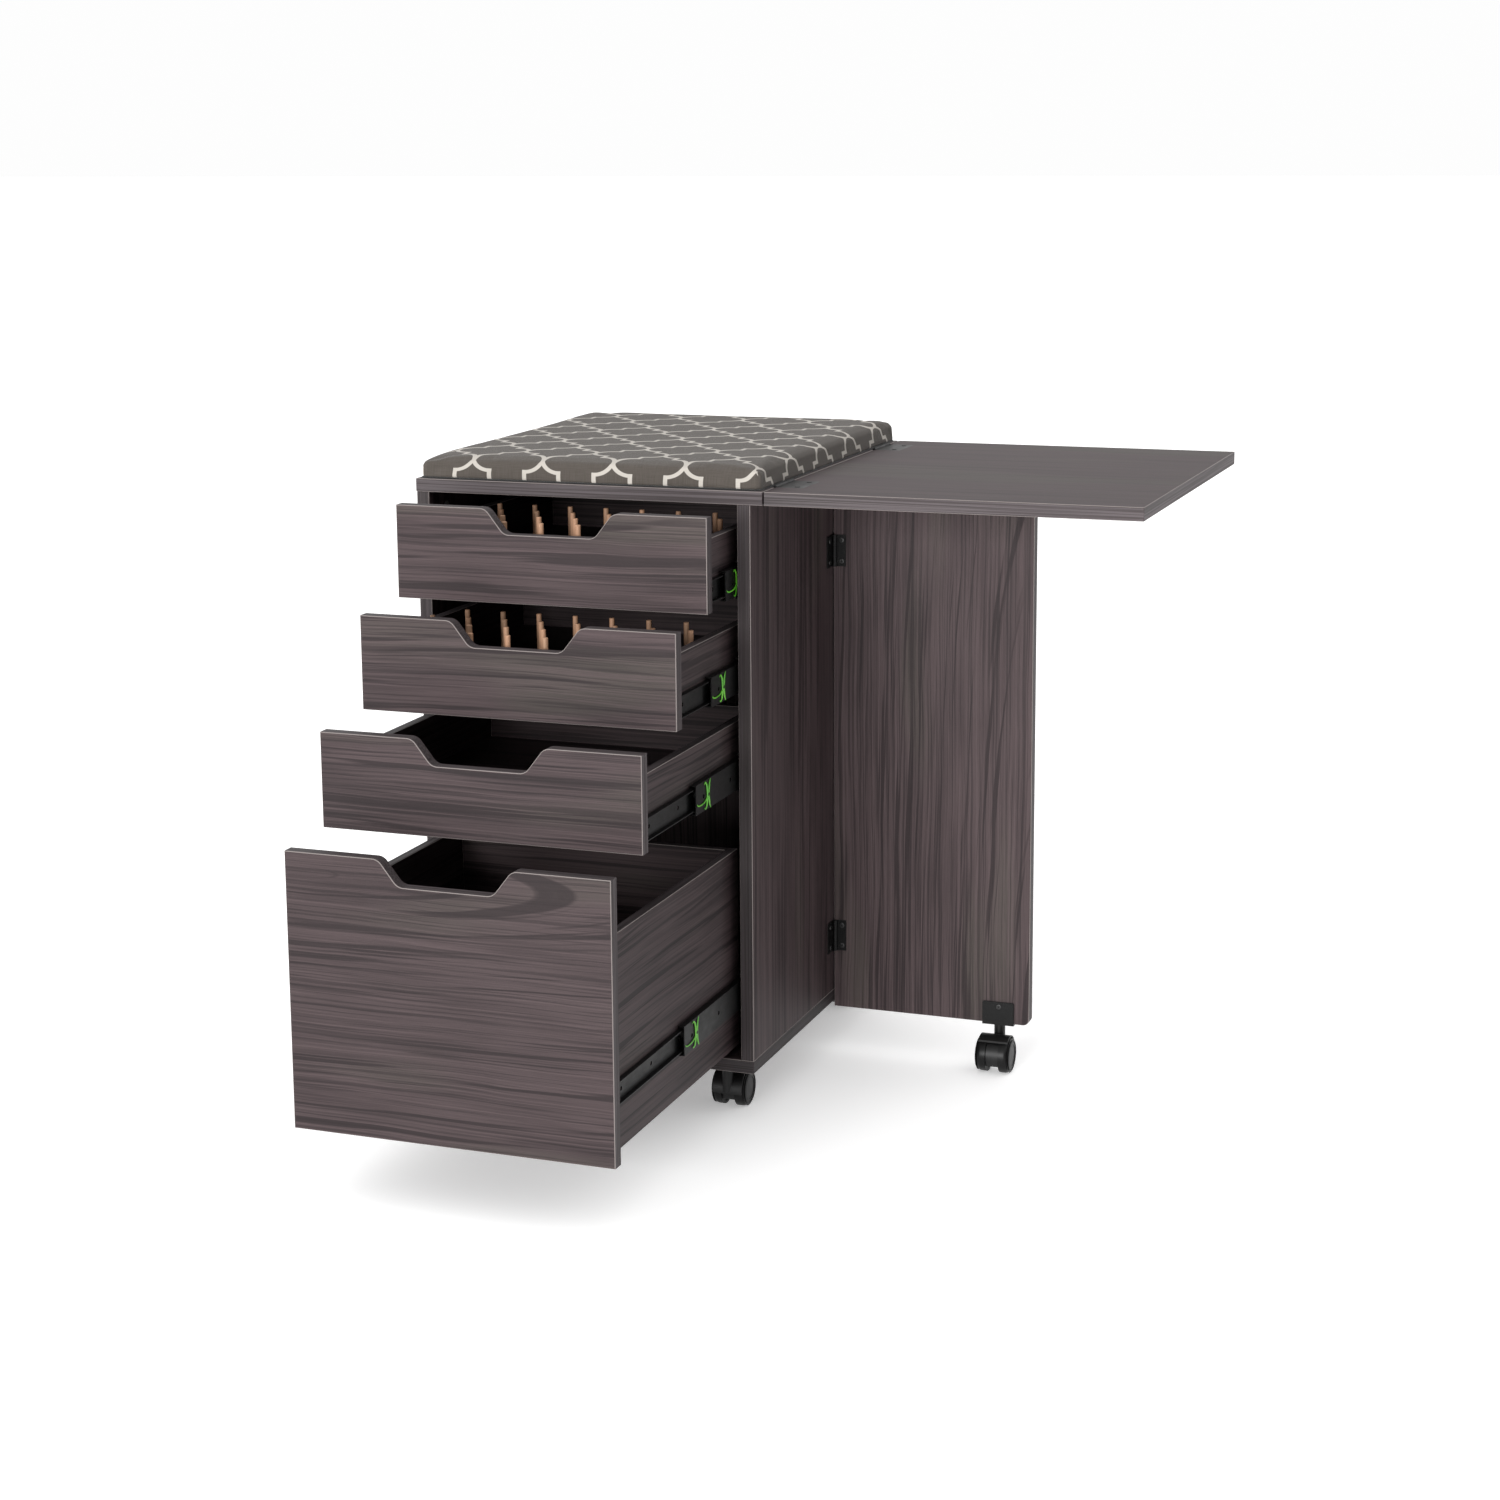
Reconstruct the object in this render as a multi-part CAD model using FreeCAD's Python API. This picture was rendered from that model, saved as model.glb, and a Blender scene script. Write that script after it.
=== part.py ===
"""Rolling sewing cabinet with four drawers, a fold-out leaf on a gate leg and a padded top.

Frame: millimetres, +Z up, floor at z = 0, +X towards the leaf, -Y towards the drawer fronts.
The origin is on the floor, under the middle of the whole object in plan.
"""
import FreeCAD
import Part
import math
import os

Vec = FreeCAD.Vector

# ---- boards and overall sizes -----------------------------------------------------
BOARD = 16.0                # laminated board of the cabinet, top, leaf, gate and drawer fronts
CABINET_WIDTH = 428.0       # over the two side panels
CABINET_DEPTH = 530.0
TOP_LEFT_OVERHANG = 1.0
TOP_RIGHT_OVERHANG = 15.0
TOP_REAR_OVERHANG = 3.0
LEAF_WIDTH = 444.0
SEAM = 2.0                  # gap between the top and the leaf
CASTER_HEIGHT = 66.0        # floor to the underside of the cabinet
BACK_THICKNESS = 5.0
BACK_INSET = 8.0
EASE = 0.6                  # small chamfer on every board's edges

# ---- drawers ----------------------------------------------------------------------
FRONT_HEIGHTS = [111.0, 111.0, 111.0, 322.0]    # from the top down
PULLS = [93.0, 192.0, 297.0, 388.0]             # how far each drawer stands open
WALL_DROPS = [29.0, 29.0, 29.0, 69.0]           # top of the front to the top of the box
SLIDE_RISES = [22.5, 22.5, 22.5, 77.5]          # bottom of the front to the slide's centre
PEGGED = [True, True, False, False]
FRONT_GAP = 4.5             # between two drawer fronts
TOP_GAP = 3.0
BOTTOM_GAP = 1.5
SIDE_GAP = 2.5
FRONT_EASE = 0.8
BOX_DEPTH = 400.0
BOX_WALL = 12.0
BOX_RISE = 8.5              # bottom of the front to the bottom of the box
TRAY_RISE = 10.0            # bottom of the box to the underside of its bottom board
TRAY_THICKNESS = 4.0
GROOVE = 5.0
GRIP_FLAT = 100.0           # flat length at the bottom of the finger cut-out
GRIP_DEPTH = 30.0
GRIP_RADIUS = 14.0
GRIP_SLOPE = 52.0           # steepest angle of the cut-out's shoulders, degrees

# ---- thread pegs ------------------------------------------------------------------
PEG_RADIUS = 3.2
PEG_HEIGHT = 60.0
PEG_PITCH = 47.0
PEG_FIRST_ROW = 16.0        # behind the drawer front
PEG_REACH = 165.0           # drawer front to the last row, at most; the rest of the tray is bare
PEG_EDGE = 8.0              # drawer wall to the nearest peg's middle, at least
PEG_BOARD = 9.0

# ---- ball-bearing slides ----------------------------------------------------------
SLIDE_THICKNESS = 12.7
SLIDE_SHEET = 1.2
SLIDE_HEIGHTS = {"outer": 45.0, "middle": 35.0, "inner": 26.0}
SLIDE_START = 1.0           # behind the drawer front's back face
SLIDE_HOLE = 2.6            # radius of the holes along a member
OUTER_LIP = 3.2             # drawer box to the outer member's flange ends
MIDDLE_LIP = 1.5            # drawer box to the middle member's flange ends
INNER_LIP = 1.4             # middle member's web to the inner member's flange ends
LEVER_BACK = 36.0           # middle member's front end to the lever's pivot; the tail ends level with the member
LEVER_THICKNESS = 1.6
LEVER_PLAY = 0.2            # lever to the middle member's web
LEVER_END_GAP = 3.3         # lever's ends to the outer member's flanges
LEVER_LENGTH = 24.0
RIVET_RADIUS = 2.0

# ---- running fits -----------------------------------------------------------------
RUNNING = 0.05              # radial clearance of a pin that turns
END_GAP = 0.3               # between faces that turn past each other

# ---- hinges -----------------------------------------------------------------------
GATE_KNUCKLE = 3.0
LEAF_KNUCKLE = 2.2
HINGE_SHEET = 1.2
GATE_HINGE_HEIGHT = 40.0
GATE_HINGE_FIXED = 22.0     # width of the plate on the cabinet's side
GATE_HINGE_MOVING = 14.0    # width of the plate on the gate
GATE_HINGE_INSET = 96.0     # gate's bottom edge, and top edge, to the hinge's middle
LEAF_HINGE_LENGTH = 64.0
LEAF_HINGE_WIDTH = 34.0
LEAF_HINGE_INSET = 75.0     # front edge, and rear edge, to the hinge's middle
SCREW_HEAD = 3.0
SCREW_PROUD = 0.5

# ---- gate leg ---------------------------------------------------------------------
GATE_LENGTH = 260.0
GATE_FROM_FRONT = 305.0     # cabinet's front edge to the gate's front face
GATE_SIDE_GAP = 1.0
GATE_TOP_GAP = 1.5          # under the leaf
GATE_DROP = 6.5             # how far the gate hangs below the cabinet's underside
GATE_CORNER = 8.0
BRACKET_SHEET = 2.0
BRACKET_WIDTH = 41.0
BRACKET_HEIGHT = 28.0
GATE_CASTER_INSET = 40.0    # gate's free edge to its caster's stem

# ---- casters ----------------------------------------------------------------------
WHEEL_RADIUS = 22.5
WHEEL_WIDTH = 13.0
HOUSING_WIDTH = 16.0
HOUSING_STEP = 2.5          # wheel's rim to the housing's
COVER_GAP = 0.7             # wheel's rim to the cover
COVER_SHEET = 2.0
COVER_WIDTH = 38.0
TRAIL = 20.0                # stem axis to wheel axle
NECK_RADIUS = 7.0
STEM_RADIUS = 4.0
STEM_LENGTH = 8.0           # above the neck
AXLE_RADIUS = 3.0
PLATE_SIZE = 40.0
PLATE_SHEET = 2.0
CASTER_INSET_X = 52.0
CASTER_INSET_Y = 50.0

# ---- pad --------------------------------------------------------------------------
PAD_INSET = 2.0
PAD_BASE = 5.0
PAD_BASE_INSET = 2.0
PAD_CUSHION = 24.0
PAD_ROUND = 9.0

# ---- cam fasteners ----------------------------------------------------------------
CAM_RADIUS = 7.5
CAM_DEPTH = 11.0
CAM_EDGE = 24.0

# ---- sizes and places worked out from the sizes above ------------------------------
TOP_WIDTH = TOP_LEFT_OVERHANG + CABINET_WIDTH + TOP_RIGHT_OVERHANG
TOP_DEPTH = CABINET_DEPTH + TOP_REAR_OVERHANG
HOUSING_RADIUS = WHEEL_RADIUS - HOUSING_STEP
COVER_RADIUS = WHEEL_RADIUS + COVER_GAP + COVER_SHEET
GATE_CASTER = GATE_LENGTH - GATE_CASTER_INSET
LEVER_START = SLIDE_SHEET + 2 * END_GAP
LEVER_HEIGHT = SLIDE_HEIGHTS["outer"] - 2 * (SLIDE_SHEET + LEVER_END_GAP)
MIDDLE_WEB = LEVER_START + LEVER_THICKNESS + LEVER_PLAY
X_TOP_LEFT = -(TOP_WIDTH + SEAM + LEAF_WIDTH) / 2
X_TOP_RIGHT = X_TOP_LEFT + TOP_WIDTH
X_SEAM = X_TOP_RIGHT + SEAM / 2
X_LEAF = X_TOP_RIGHT + SEAM
X_LEAF_END = X_LEAF + LEAF_WIDTH
X_LEFT = X_TOP_LEFT + TOP_LEFT_OVERHANG
X_RIGHT = X_LEFT + CABINET_WIDTH
X_IN_LEFT = X_LEFT + BOARD
X_IN_RIGHT = X_RIGHT - BOARD
X_MIDDLE = (X_LEFT + X_RIGHT) / 2
Y_FRONT = (max(PULLS) - TOP_DEPTH) / 2
Y_TOP_REAR = Y_FRONT + TOP_DEPTH
Y_REAR = Y_FRONT + CABINET_DEPTH
Y_BACK = Y_REAR - BACK_INSET - BACK_THICKNESS
Z_BOTTOM = CASTER_HEIGHT
Z_OPEN_LOW = Z_BOTTOM + BOARD
Z_OPEN_HIGH = Z_OPEN_LOW + BOTTOM_GAP + sum(FRONT_HEIGHTS) + 3 * FRONT_GAP + TOP_GAP
Z_TOP = Z_OPEN_HIGH + BOARD
X_BOX_LEFT = X_IN_LEFT + SLIDE_THICKNESS
X_BOX_RIGHT = X_IN_RIGHT - SLIDE_THICKNESS
SLIDE_LENGTH = BOX_DEPTH - 2 * SLIDE_START
Y_SLIDE = Y_FRONT + BOARD + SLIDE_START
PEG_COLUMNS = 1 + int((X_BOX_RIGHT - X_BOX_LEFT - 2 * BOX_WALL - 2 * PEG_EDGE) / PEG_PITCH)
PEG_ROWS = 1 + int((min(PEG_REACH, BOX_DEPTH - BOX_WALL - PEG_EDGE) - PEG_FIRST_ROW) / PEG_PITCH)
Y_GATE = Y_FRONT + GATE_FROM_FRONT
Z_GATE_LOW = Z_BOTTOM - GATE_DROP
Z_GATE_HIGH = Z_OPEN_HIGH - GATE_TOP_GAP
X_GATE = X_RIGHT + GATE_SIDE_GAP
X_GATE_END = X_RIGHT + GATE_LENGTH
GATE_AXIS_OFFSET = GATE_KNUCKLE + END_GAP
GATE_AXIS = (X_RIGHT + GATE_AXIS_OFFSET, Y_GATE - GATE_AXIS_OFFSET)
GATE_HINGE_Z = [Z_GATE_LOW + GATE_HINGE_INSET, Z_GATE_HIGH - GATE_HINGE_INSET]
LEAF_HINGE_Y = [Y_FRONT + LEAF_HINGE_INSET, Y_TOP_REAR - LEAF_HINGE_INSET]
WHEEL_OFFSET = HOUSING_WIDTH / 2 + END_GAP
Z_AXLE = WHEEL_RADIUS


# ---- small helpers ----------------------------------------------------------------
def box(low, high):
    """Solid block between two corners."""
    size = [b - a for a, b in zip(low, high)]
    return Part.makeBox(size[0], size[1], size[2], Vec(*low))


def rod(radius, start, end):
    """Solid cylinder between two points."""
    axis = Vec(*end).sub(Vec(*start))
    return Part.makeCylinder(radius, axis.Length, Vec(*start), axis)


def board(low, high, ease=EASE):
    """Rectangular board with eased edges."""
    block = box(low, high)
    return block.makeChamfer(ease, block.Edges)


def export(name, solids):
    """Write one node's solids as one STEP file."""
    shape = solids[0] if len(solids) == 1 else Part.makeCompound(solids)
    shape.exportStep(os.path.join("parts", name + ".step"))


def front_bottoms():
    """Height of each drawer front's lower edge, from the top drawer down."""
    heights = []
    z = Z_OPEN_HIGH - TOP_GAP
    for height in FRONT_HEIGHTS:
        heights.append(z - height)
        z -= height + FRONT_GAP
    return heights


# ---- cabinet ----------------------------------------------------------------------
def caster_places():
    """Stem places of the four cabinet casters: front left, front right, rear left, rear right."""
    xs = [X_LEFT + CASTER_INSET_X, X_RIGHT - CASTER_INSET_X]
    ys = [Y_FRONT + CASTER_INSET_Y, Y_REAR - CASTER_INSET_Y]
    return [(x, y) for y in ys for x in xs]


def cam_places():
    """Centre and inward direction of each cam fastener on the side panels' inner faces."""
    places = []
    for x, inward in ((X_IN_LEFT, 1), (X_IN_RIGHT, -1)):
        for y in (Y_FRONT + 2 * CAM_EDGE, Y_BACK - 2 * CAM_EDGE):
            for z in (Z_OPEN_LOW + CAM_EDGE, Z_OPEN_HIGH - CAM_EDGE):
                places.append((x, y, z, inward))
    return places


def cam(place, radius, depth):
    x, y, z, inward = place
    return rod(radius, (x - inward * depth, y, z), (x, y, z))


def side_panel(x_low, x_high):
    panel = board((x_low, Y_FRONT, Z_OPEN_LOW), (x_high, Y_REAR, Z_OPEN_HIGH))
    for place in cam_places():
        if x_low <= place[0] <= x_high:
            panel = panel.cut(cam(place, CAM_RADIUS, CAM_DEPTH))
    groove_low = (X_IN_LEFT - GROOVE, Y_BACK, Z_OPEN_LOW - 1)
    groove_high = (X_IN_RIGHT + GROOVE, Y_BACK + BACK_THICKNESS, Z_OPEN_HIGH + 1)
    return panel.cut(box(groove_low, groove_high))


def bottom_panel():
    panel = board((X_LEFT, Y_FRONT, Z_BOTTOM), (X_RIGHT, Y_REAR, Z_OPEN_LOW))
    for x, y in caster_places():
        bore = rod(STEM_RADIUS + 2 * END_GAP, (x, y, Z_BOTTOM - 1), (x, y, Z_BOTTOM + STEM_LENGTH + 1))
        panel = panel.cut(bore)
    return panel


def back_panel():
    low = (X_IN_LEFT - GROOVE, Y_BACK, Z_OPEN_LOW)
    high = (X_IN_RIGHT + GROOVE, Y_BACK + BACK_THICKNESS, Z_OPEN_HIGH)
    return box(low, high)


def hinge_recess():
    """Space let into the top and the leaf for the two leaf hinges."""
    spaces = []
    for y in LEAF_HINGE_Y:
        y_low = y - LEAF_HINGE_LENGTH / 2
        y_high = y + LEAF_HINGE_LENGTH / 2
        plate_low = (X_SEAM - LEAF_HINGE_WIDTH, y_low, Z_TOP - HINGE_SHEET)
        plate_high = (X_SEAM + LEAF_HINGE_WIDTH, y_high, Z_TOP + 1)
        spaces.append(box(plate_low, plate_high))
        clear = LEAF_KNUCKLE + END_GAP
        spaces.append(rod(clear, (X_SEAM, y_low - END_GAP, Z_TOP), (X_SEAM, y_high + END_GAP, Z_TOP)))
    return spaces


def top_panel():
    panel = board((X_TOP_LEFT, Y_FRONT, Z_OPEN_HIGH), (X_TOP_RIGHT, Y_TOP_REAR, Z_TOP))
    return panel.cut(hinge_recess())


def leaf_panel():
    panel = board((X_LEAF, Y_FRONT, Z_OPEN_HIGH), (X_LEAF_END, Y_TOP_REAR, Z_TOP))
    return panel.cut(hinge_recess())


# ---- drawers ----------------------------------------------------------------------
def grip_outline(z_high, y_low, y_high):
    """Solid that cuts the finger opening: flat bottom and two S-shaped shoulders."""
    slope = math.radians(GRIP_SLOPE)
    arc_dx = GRIP_RADIUS * math.sin(slope)
    arc_dz = GRIP_RADIUS * (1 - math.cos(slope))
    straight_dz = GRIP_DEPTH - 2 * arc_dz
    straight_dx = straight_dz / math.tan(slope)
    half = GRIP_FLAT / 2
    z_low = z_high - GRIP_DEPTH
    mid_dx = GRIP_RADIUS * math.sin(slope / 2)
    mid_dz = GRIP_RADIUS * (1 - math.cos(slope / 2))

    def point(side, dx, z):
        return Vec(X_MIDDLE + side * (half + dx), y_low, z)

    def shoulder(side):
        """Edges from the flat bottom up to the front's upper edge."""
        low = point(side, 0, z_low)
        low_mid = point(side, mid_dx, z_low + mid_dz)
        low_end = point(side, arc_dx, z_low + arc_dz)
        high_start = point(side, arc_dx + straight_dx, z_high - arc_dz)
        high_mid = point(side, 2 * arc_dx + straight_dx - mid_dx, z_high - mid_dz)
        high = point(side, 2 * arc_dx + straight_dx, z_high)
        edges = [Part.Arc(low, low_mid, low_end).toShape()]
        edges.append(Part.makeLine(low_end, high_start))
        edges.append(Part.Arc(high_start, high_mid, high).toShape())
        return edges, low, high

    left, left_low, left_high = shoulder(-1)
    right, right_low, right_high = shoulder(1)
    above = Vec(0, 0, 5)
    closing = [Part.makeLine(left_low, right_low)]
    closing.append(Part.makeLine(left_high, left_high + above))
    closing.append(Part.makeLine(left_high + above, right_high + above))
    closing.append(Part.makeLine(right_high + above, right_high))
    wire = Part.Wire(Part.__sortEdges__(left + right + closing))
    return Part.Face(wire).extrude(Vec(0, y_high - y_low, 0))


def drawer_tray(y_back, z_low):
    """Bottom board of a drawer box, which runs into grooves on all four sides."""
    z_tray = z_low + BOX_RISE + TRAY_RISE
    low = (X_BOX_LEFT + BOX_WALL - GROOVE, y_back - GROOVE, z_tray)
    high = (X_BOX_RIGHT - BOX_WALL + GROOVE, y_back + BOX_DEPTH - BOX_WALL + GROOVE, z_tray + TRAY_THICKNESS)
    return box(low, high)


def drawer_front(y_back, z_low, height, tray):
    low = (X_IN_LEFT + SIDE_GAP, y_back - BOARD, z_low)
    high = (X_IN_RIGHT - SIDE_GAP, y_back, z_low + height)
    blank = box(low, high).cut(grip_outline(z_low + height, y_back - BOARD - 1, y_back + 1))
    show = [edge for edge in blank.Edges if edge.BoundBox.YMax < y_back - BOARD / 2]
    return blank.makeChamfer(FRONT_EASE, show).cut(tray)


def drawer_walls(y_back, z_low, z_high, tray):
    """Left wall, right wall and back of a drawer box."""
    y_end = y_back + BOX_DEPTH
    left = board((X_BOX_LEFT, y_back, z_low), (X_BOX_LEFT + BOX_WALL, y_end, z_high))
    right = board((X_BOX_RIGHT - BOX_WALL, y_back, z_low), (X_BOX_RIGHT, y_end, z_high))
    back_low = (X_BOX_LEFT + BOX_WALL, y_end - BOX_WALL, z_low)
    back_high = (X_BOX_RIGHT - BOX_WALL, y_end, z_high)
    back = board(back_low, back_high)
    return left.cut(tray), right.cut(tray), back.cut(tray)


def peg_places(y_back):
    """Staggered rows: full rows and, between them, rows with one peg fewer."""
    places = []
    for row in range(PEG_ROWS):
        count = PEG_COLUMNS - row % 2
        y = y_back + PEG_FIRST_ROW + row * PEG_PITCH
        for column in range(count):
            places.append((X_MIDDLE + (column - (count - 1) / 2) * PEG_PITCH, y))
    return places


def peg_tray(y_back, z_tray_top):
    """Drilled board that lies in the drawer, and its pegs."""
    low = (X_BOX_LEFT + BOX_WALL, y_back, z_tray_top)
    high = (X_BOX_RIGHT - BOX_WALL, y_back + BOX_DEPTH - BOX_WALL, z_tray_top + PEG_BOARD)
    pegs = []
    for x, y in peg_places(y_back):
        peg = rod(PEG_RADIUS, (x, y, z_tray_top), (x, y, z_tray_top + PEG_BOARD + PEG_HEIGHT))
        tip = [edge for edge in peg.Edges if edge.BoundBox.ZMin > z_tray_top + PEG_BOARD + PEG_HEIGHT - 0.1]
        pegs.append(peg.makeChamfer(0.6, tip))
    holes = [rod(PEG_RADIUS, (x, y, z_tray_top - 1), (x, y, z_tray_top + PEG_BOARD + 1))
             for x, y in peg_places(y_back)]
    return box(low, high).cut(holes), pegs


# ---- slides -----------------------------------------------------------------------
def slide_channel(member, y_low, z_middle, wall_x, inward):
    """One C-shaped member. wall_x is the cabinet side's inner face; inward points to the drawer."""
    web_and_flange = {"outer": (0.0, SLIDE_THICKNESS - OUTER_LIP),
                      "middle": (MIDDLE_WEB, SLIDE_THICKNESS - MIDDLE_LIP),
                      "inner": (SLIDE_THICKNESS - SLIDE_SHEET, MIDDLE_WEB + SLIDE_SHEET + INNER_LIP)}
    web_start, flange_end = web_and_flange[member]
    web_end = web_start + SLIDE_SHEET
    half = SLIDE_HEIGHTS[member] / 2
    y_high = y_low + SLIDE_LENGTH

    def plate(u_low, u_high, z_low, z_high):
        xs = sorted((wall_x + inward * u_low, wall_x + inward * u_high))
        return box((xs[0], y_low, z_middle + z_low), (xs[1], y_high, z_middle + z_high))

    flange_low = min(web_start, flange_end)
    flange_high = max(web_end, flange_end)
    channel = plate(web_start, web_end, -half, half)
    channel = channel.fuse(plate(flange_low, flange_high, -half, SLIDE_SHEET - half))
    channel = channel.fuse(plate(flange_low, flange_high, half - SLIDE_SHEET, half))
    for share in (0.06, 0.28, 0.5, 0.72, 0.94):
        y = y_low + share * SLIDE_LENGTH
        start = (wall_x + inward * (web_start - 1), y, z_middle)
        end = (wall_x + inward * (web_end + 1), y, z_middle)
        channel = channel.cut(rod(SLIDE_HOLE, start, end))
    return channel.removeSplitter()


def lever_pivot(y_middle_front):
    return y_middle_front + LEVER_BACK


def slide_middle(y_low, z_middle, wall_x, inward):
    """Middle member with the rivet that its release lever turns on."""
    channel = slide_channel("middle", y_low, z_middle, wall_x, inward)
    y = lever_pivot(y_low)
    start = (wall_x + inward * (SLIDE_SHEET + END_GAP), y, z_middle)
    end = (wall_x + inward * (MIDDLE_WEB + SLIDE_SHEET / 2), y, z_middle)
    return channel.fuse(rod(RIVET_RADIUS, start, end)).removeSplitter()


def release_lever(y_middle_front, z_middle, wall_x, inward):
    """Flat plastic lever: two upright bars, a hub on the rivet and a tail towards the front."""
    xs = sorted((wall_x + inward * LEVER_START, wall_x + inward * (LEVER_START + LEVER_THICKNESS)))
    y = lever_pivot(y_middle_front)
    half_z = LEVER_HEIGHT / 2
    half_y = LEVER_LENGTH / 2
    bar = LEVER_LENGTH / 4

    def plate(y_low, y_high, z_low, z_high):
        return box((xs[0], y + y_low, z_middle + z_low), (xs[1], y + y_high, z_middle + z_high))

    lever = plate(-half_y, bar - half_y, -half_z, half_z)
    lever = lever.fuse(plate(half_y - bar, half_y, -half_z, half_z))
    lever = lever.fuse(plate(-half_y, half_y, -bar, bar))
    lever = lever.fuse(plate(-half_y - LEVER_LENGTH, -half_y, -bar, -bar / 3))
    start = (xs[0] - 1, y, z_middle)
    end = (xs[1] + 1, y, z_middle)
    return lever.removeSplitter().cut(rod(RIVET_RADIUS + RUNNING, start, end))


def on_both_sides(make, *args):
    """Left and right copies of a slide piece."""
    return [make(*args, X_IN_LEFT, 1), make(*args, X_IN_RIGHT, -1)]


def build_drawer(number, z_low, outer_members):
    index = number - 1
    height = FRONT_HEIGHTS[index]
    y_back = Y_FRONT + BOARD - PULLS[index]
    z_box = z_low + BOX_RISE
    z_high = z_low + height - WALL_DROPS[index]
    tray = drawer_tray(y_back, z_low)
    left, right, back = drawer_walls(y_back, z_box, z_high, tray)
    prefix = "drawer_%d_" % number
    export(prefix + "front", [drawer_front(y_back, z_low, height, tray)])
    export(prefix + "box_sides", [left, right])
    export(prefix + "box_back", [back])
    export(prefix + "box_bottom", [tray])
    if PEGGED[index]:
        peg_board, pegs = peg_tray(y_back, z_box + TRAY_RISE + TRAY_THICKNESS)
        export(prefix + "peg_board", [peg_board])
        export(prefix + "pegs", pegs)
    z_slide = z_low + SLIDE_RISES[index]
    y_middle = Y_SLIDE - PULLS[index] / 2
    inner = on_both_sides(slide_channel, "inner", Y_SLIDE - PULLS[index], z_slide)
    export(prefix + "slide_inner", inner)
    export(prefix + "slide_middle", on_both_sides(slide_middle, y_middle, z_slide))
    export(prefix + "release_levers", on_both_sides(release_lever, y_middle, z_slide))
    outer_members.extend(on_both_sides(slide_channel, "outer", Y_SLIDE, z_slide))


# ---- hinges -----------------------------------------------------------------------
def knuckle_parts(length, place, radius, bore, fixed):
    """Knuckle barrels along one axis: the fixed plate has both ends, the moving one the middle."""
    third = length / 3
    spans = [(0, third - END_GAP / 2), (2 * third + END_GAP / 2, length)]
    if not fixed:
        spans = [(third + END_GAP / 2, 2 * third - END_GAP / 2)]
    barrels = []
    for low, high in spans:
        barrels.append(rod(radius, place(low), place(high)).cut(rod(bore, place(low - 1), place(high + 1))))
    return barrels, spans


def hinge_plate(sheet, barrels, bores, clear):
    """One hinge plate with its barrels, cut clear of the pin and of the other plate's barrels."""
    plate = sheet.cut(clear)
    for barrel in barrels:
        plate = plate.fuse(barrel)
    return plate.cut(bores).removeSplitter()


def gate_hinge(z_middle):
    """Butt hinge in the corner between the cabinet's side and the gate."""
    x, y = GATE_AXIS
    z_low = z_middle - GATE_HINGE_HEIGHT / 2
    z_high = z_middle + GATE_HINGE_HEIGHT / 2

    def place(s):
        return (x, y, z_low + s)

    pin_radius = GATE_KNUCKLE / 2
    fixed, fixed_spans = knuckle_parts(GATE_HINGE_HEIGHT, place, GATE_KNUCKLE, pin_radius, True)
    moving, moving_spans = knuckle_parts(GATE_HINGE_HEIGHT, place, GATE_KNUCKLE, pin_radius + RUNNING, False)
    clear = GATE_KNUCKLE + END_GAP
    fixed_sheet = box((X_RIGHT, y - GATE_HINGE_FIXED, z_low), (X_RIGHT + HINGE_SHEET, y, z_high))
    moving_sheet = box((x, Y_GATE - HINGE_SHEET, z_low), (x + GATE_HINGE_MOVING, Y_GATE, z_high))
    moving_clear = [rod(clear, place(low - END_GAP), place(high + END_GAP)) for low, high in moving_spans]
    fixed_clear = [rod(clear, place(low - END_GAP), place(high + END_GAP)) for low, high in fixed_spans]
    bore = rod(pin_radius, place(-1), place(GATE_HINGE_HEIGHT + 1))
    wide_bore = rod(pin_radius + RUNNING, place(-1), place(GATE_HINGE_HEIGHT + 1))
    fixed_plate = hinge_plate(fixed_sheet, fixed, [bore], moving_clear)
    moving_plate = hinge_plate(moving_sheet, moving, [wide_bore], fixed_clear)
    pin = rod(pin_radius, place(0), place(GATE_HINGE_HEIGHT))
    return fixed_plate, moving_plate, pin


def leaf_hinge(y_middle):
    """Flush hinge let into the top and the leaf across the seam."""
    y_low = y_middle - LEAF_HINGE_LENGTH / 2
    y_high = y_middle + LEAF_HINGE_LENGTH / 2

    def place(s):
        return (X_SEAM, y_low + s, Z_TOP)

    pin_radius = LEAF_KNUCKLE / 2
    fixed, fixed_spans = knuckle_parts(LEAF_HINGE_LENGTH, place, LEAF_KNUCKLE, pin_radius, True)
    moving, moving_spans = knuckle_parts(LEAF_HINGE_LENGTH, place, LEAF_KNUCKLE, pin_radius + RUNNING, False)
    clear = LEAF_KNUCKLE + END_GAP
    fixed_sheet = box((X_SEAM - LEAF_HINGE_WIDTH, y_low, Z_TOP - HINGE_SHEET), (X_SEAM, y_high, Z_TOP))
    moving_sheet = box((X_SEAM, y_low, Z_TOP - HINGE_SHEET), (X_SEAM + LEAF_HINGE_WIDTH, y_high, Z_TOP))
    moving_clear = [rod(clear, place(low - END_GAP), place(high + END_GAP)) for low, high in moving_spans]
    fixed_clear = [rod(clear, place(low - END_GAP), place(high + END_GAP)) for low, high in fixed_spans]
    bore = rod(pin_radius, place(-1), place(LEAF_HINGE_LENGTH + 1))
    wide_bore = rod(pin_radius + RUNNING, place(-1), place(LEAF_HINGE_LENGTH + 1))
    fixed_plate = hinge_plate(fixed_sheet, fixed, [bore], moving_clear)
    moving_plate = hinge_plate(moving_sheet, moving, [wide_bore], fixed_clear)
    pin = rod(pin_radius, place(0), place(LEAF_HINGE_LENGTH))
    return fixed_plate, moving_plate, pin


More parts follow.
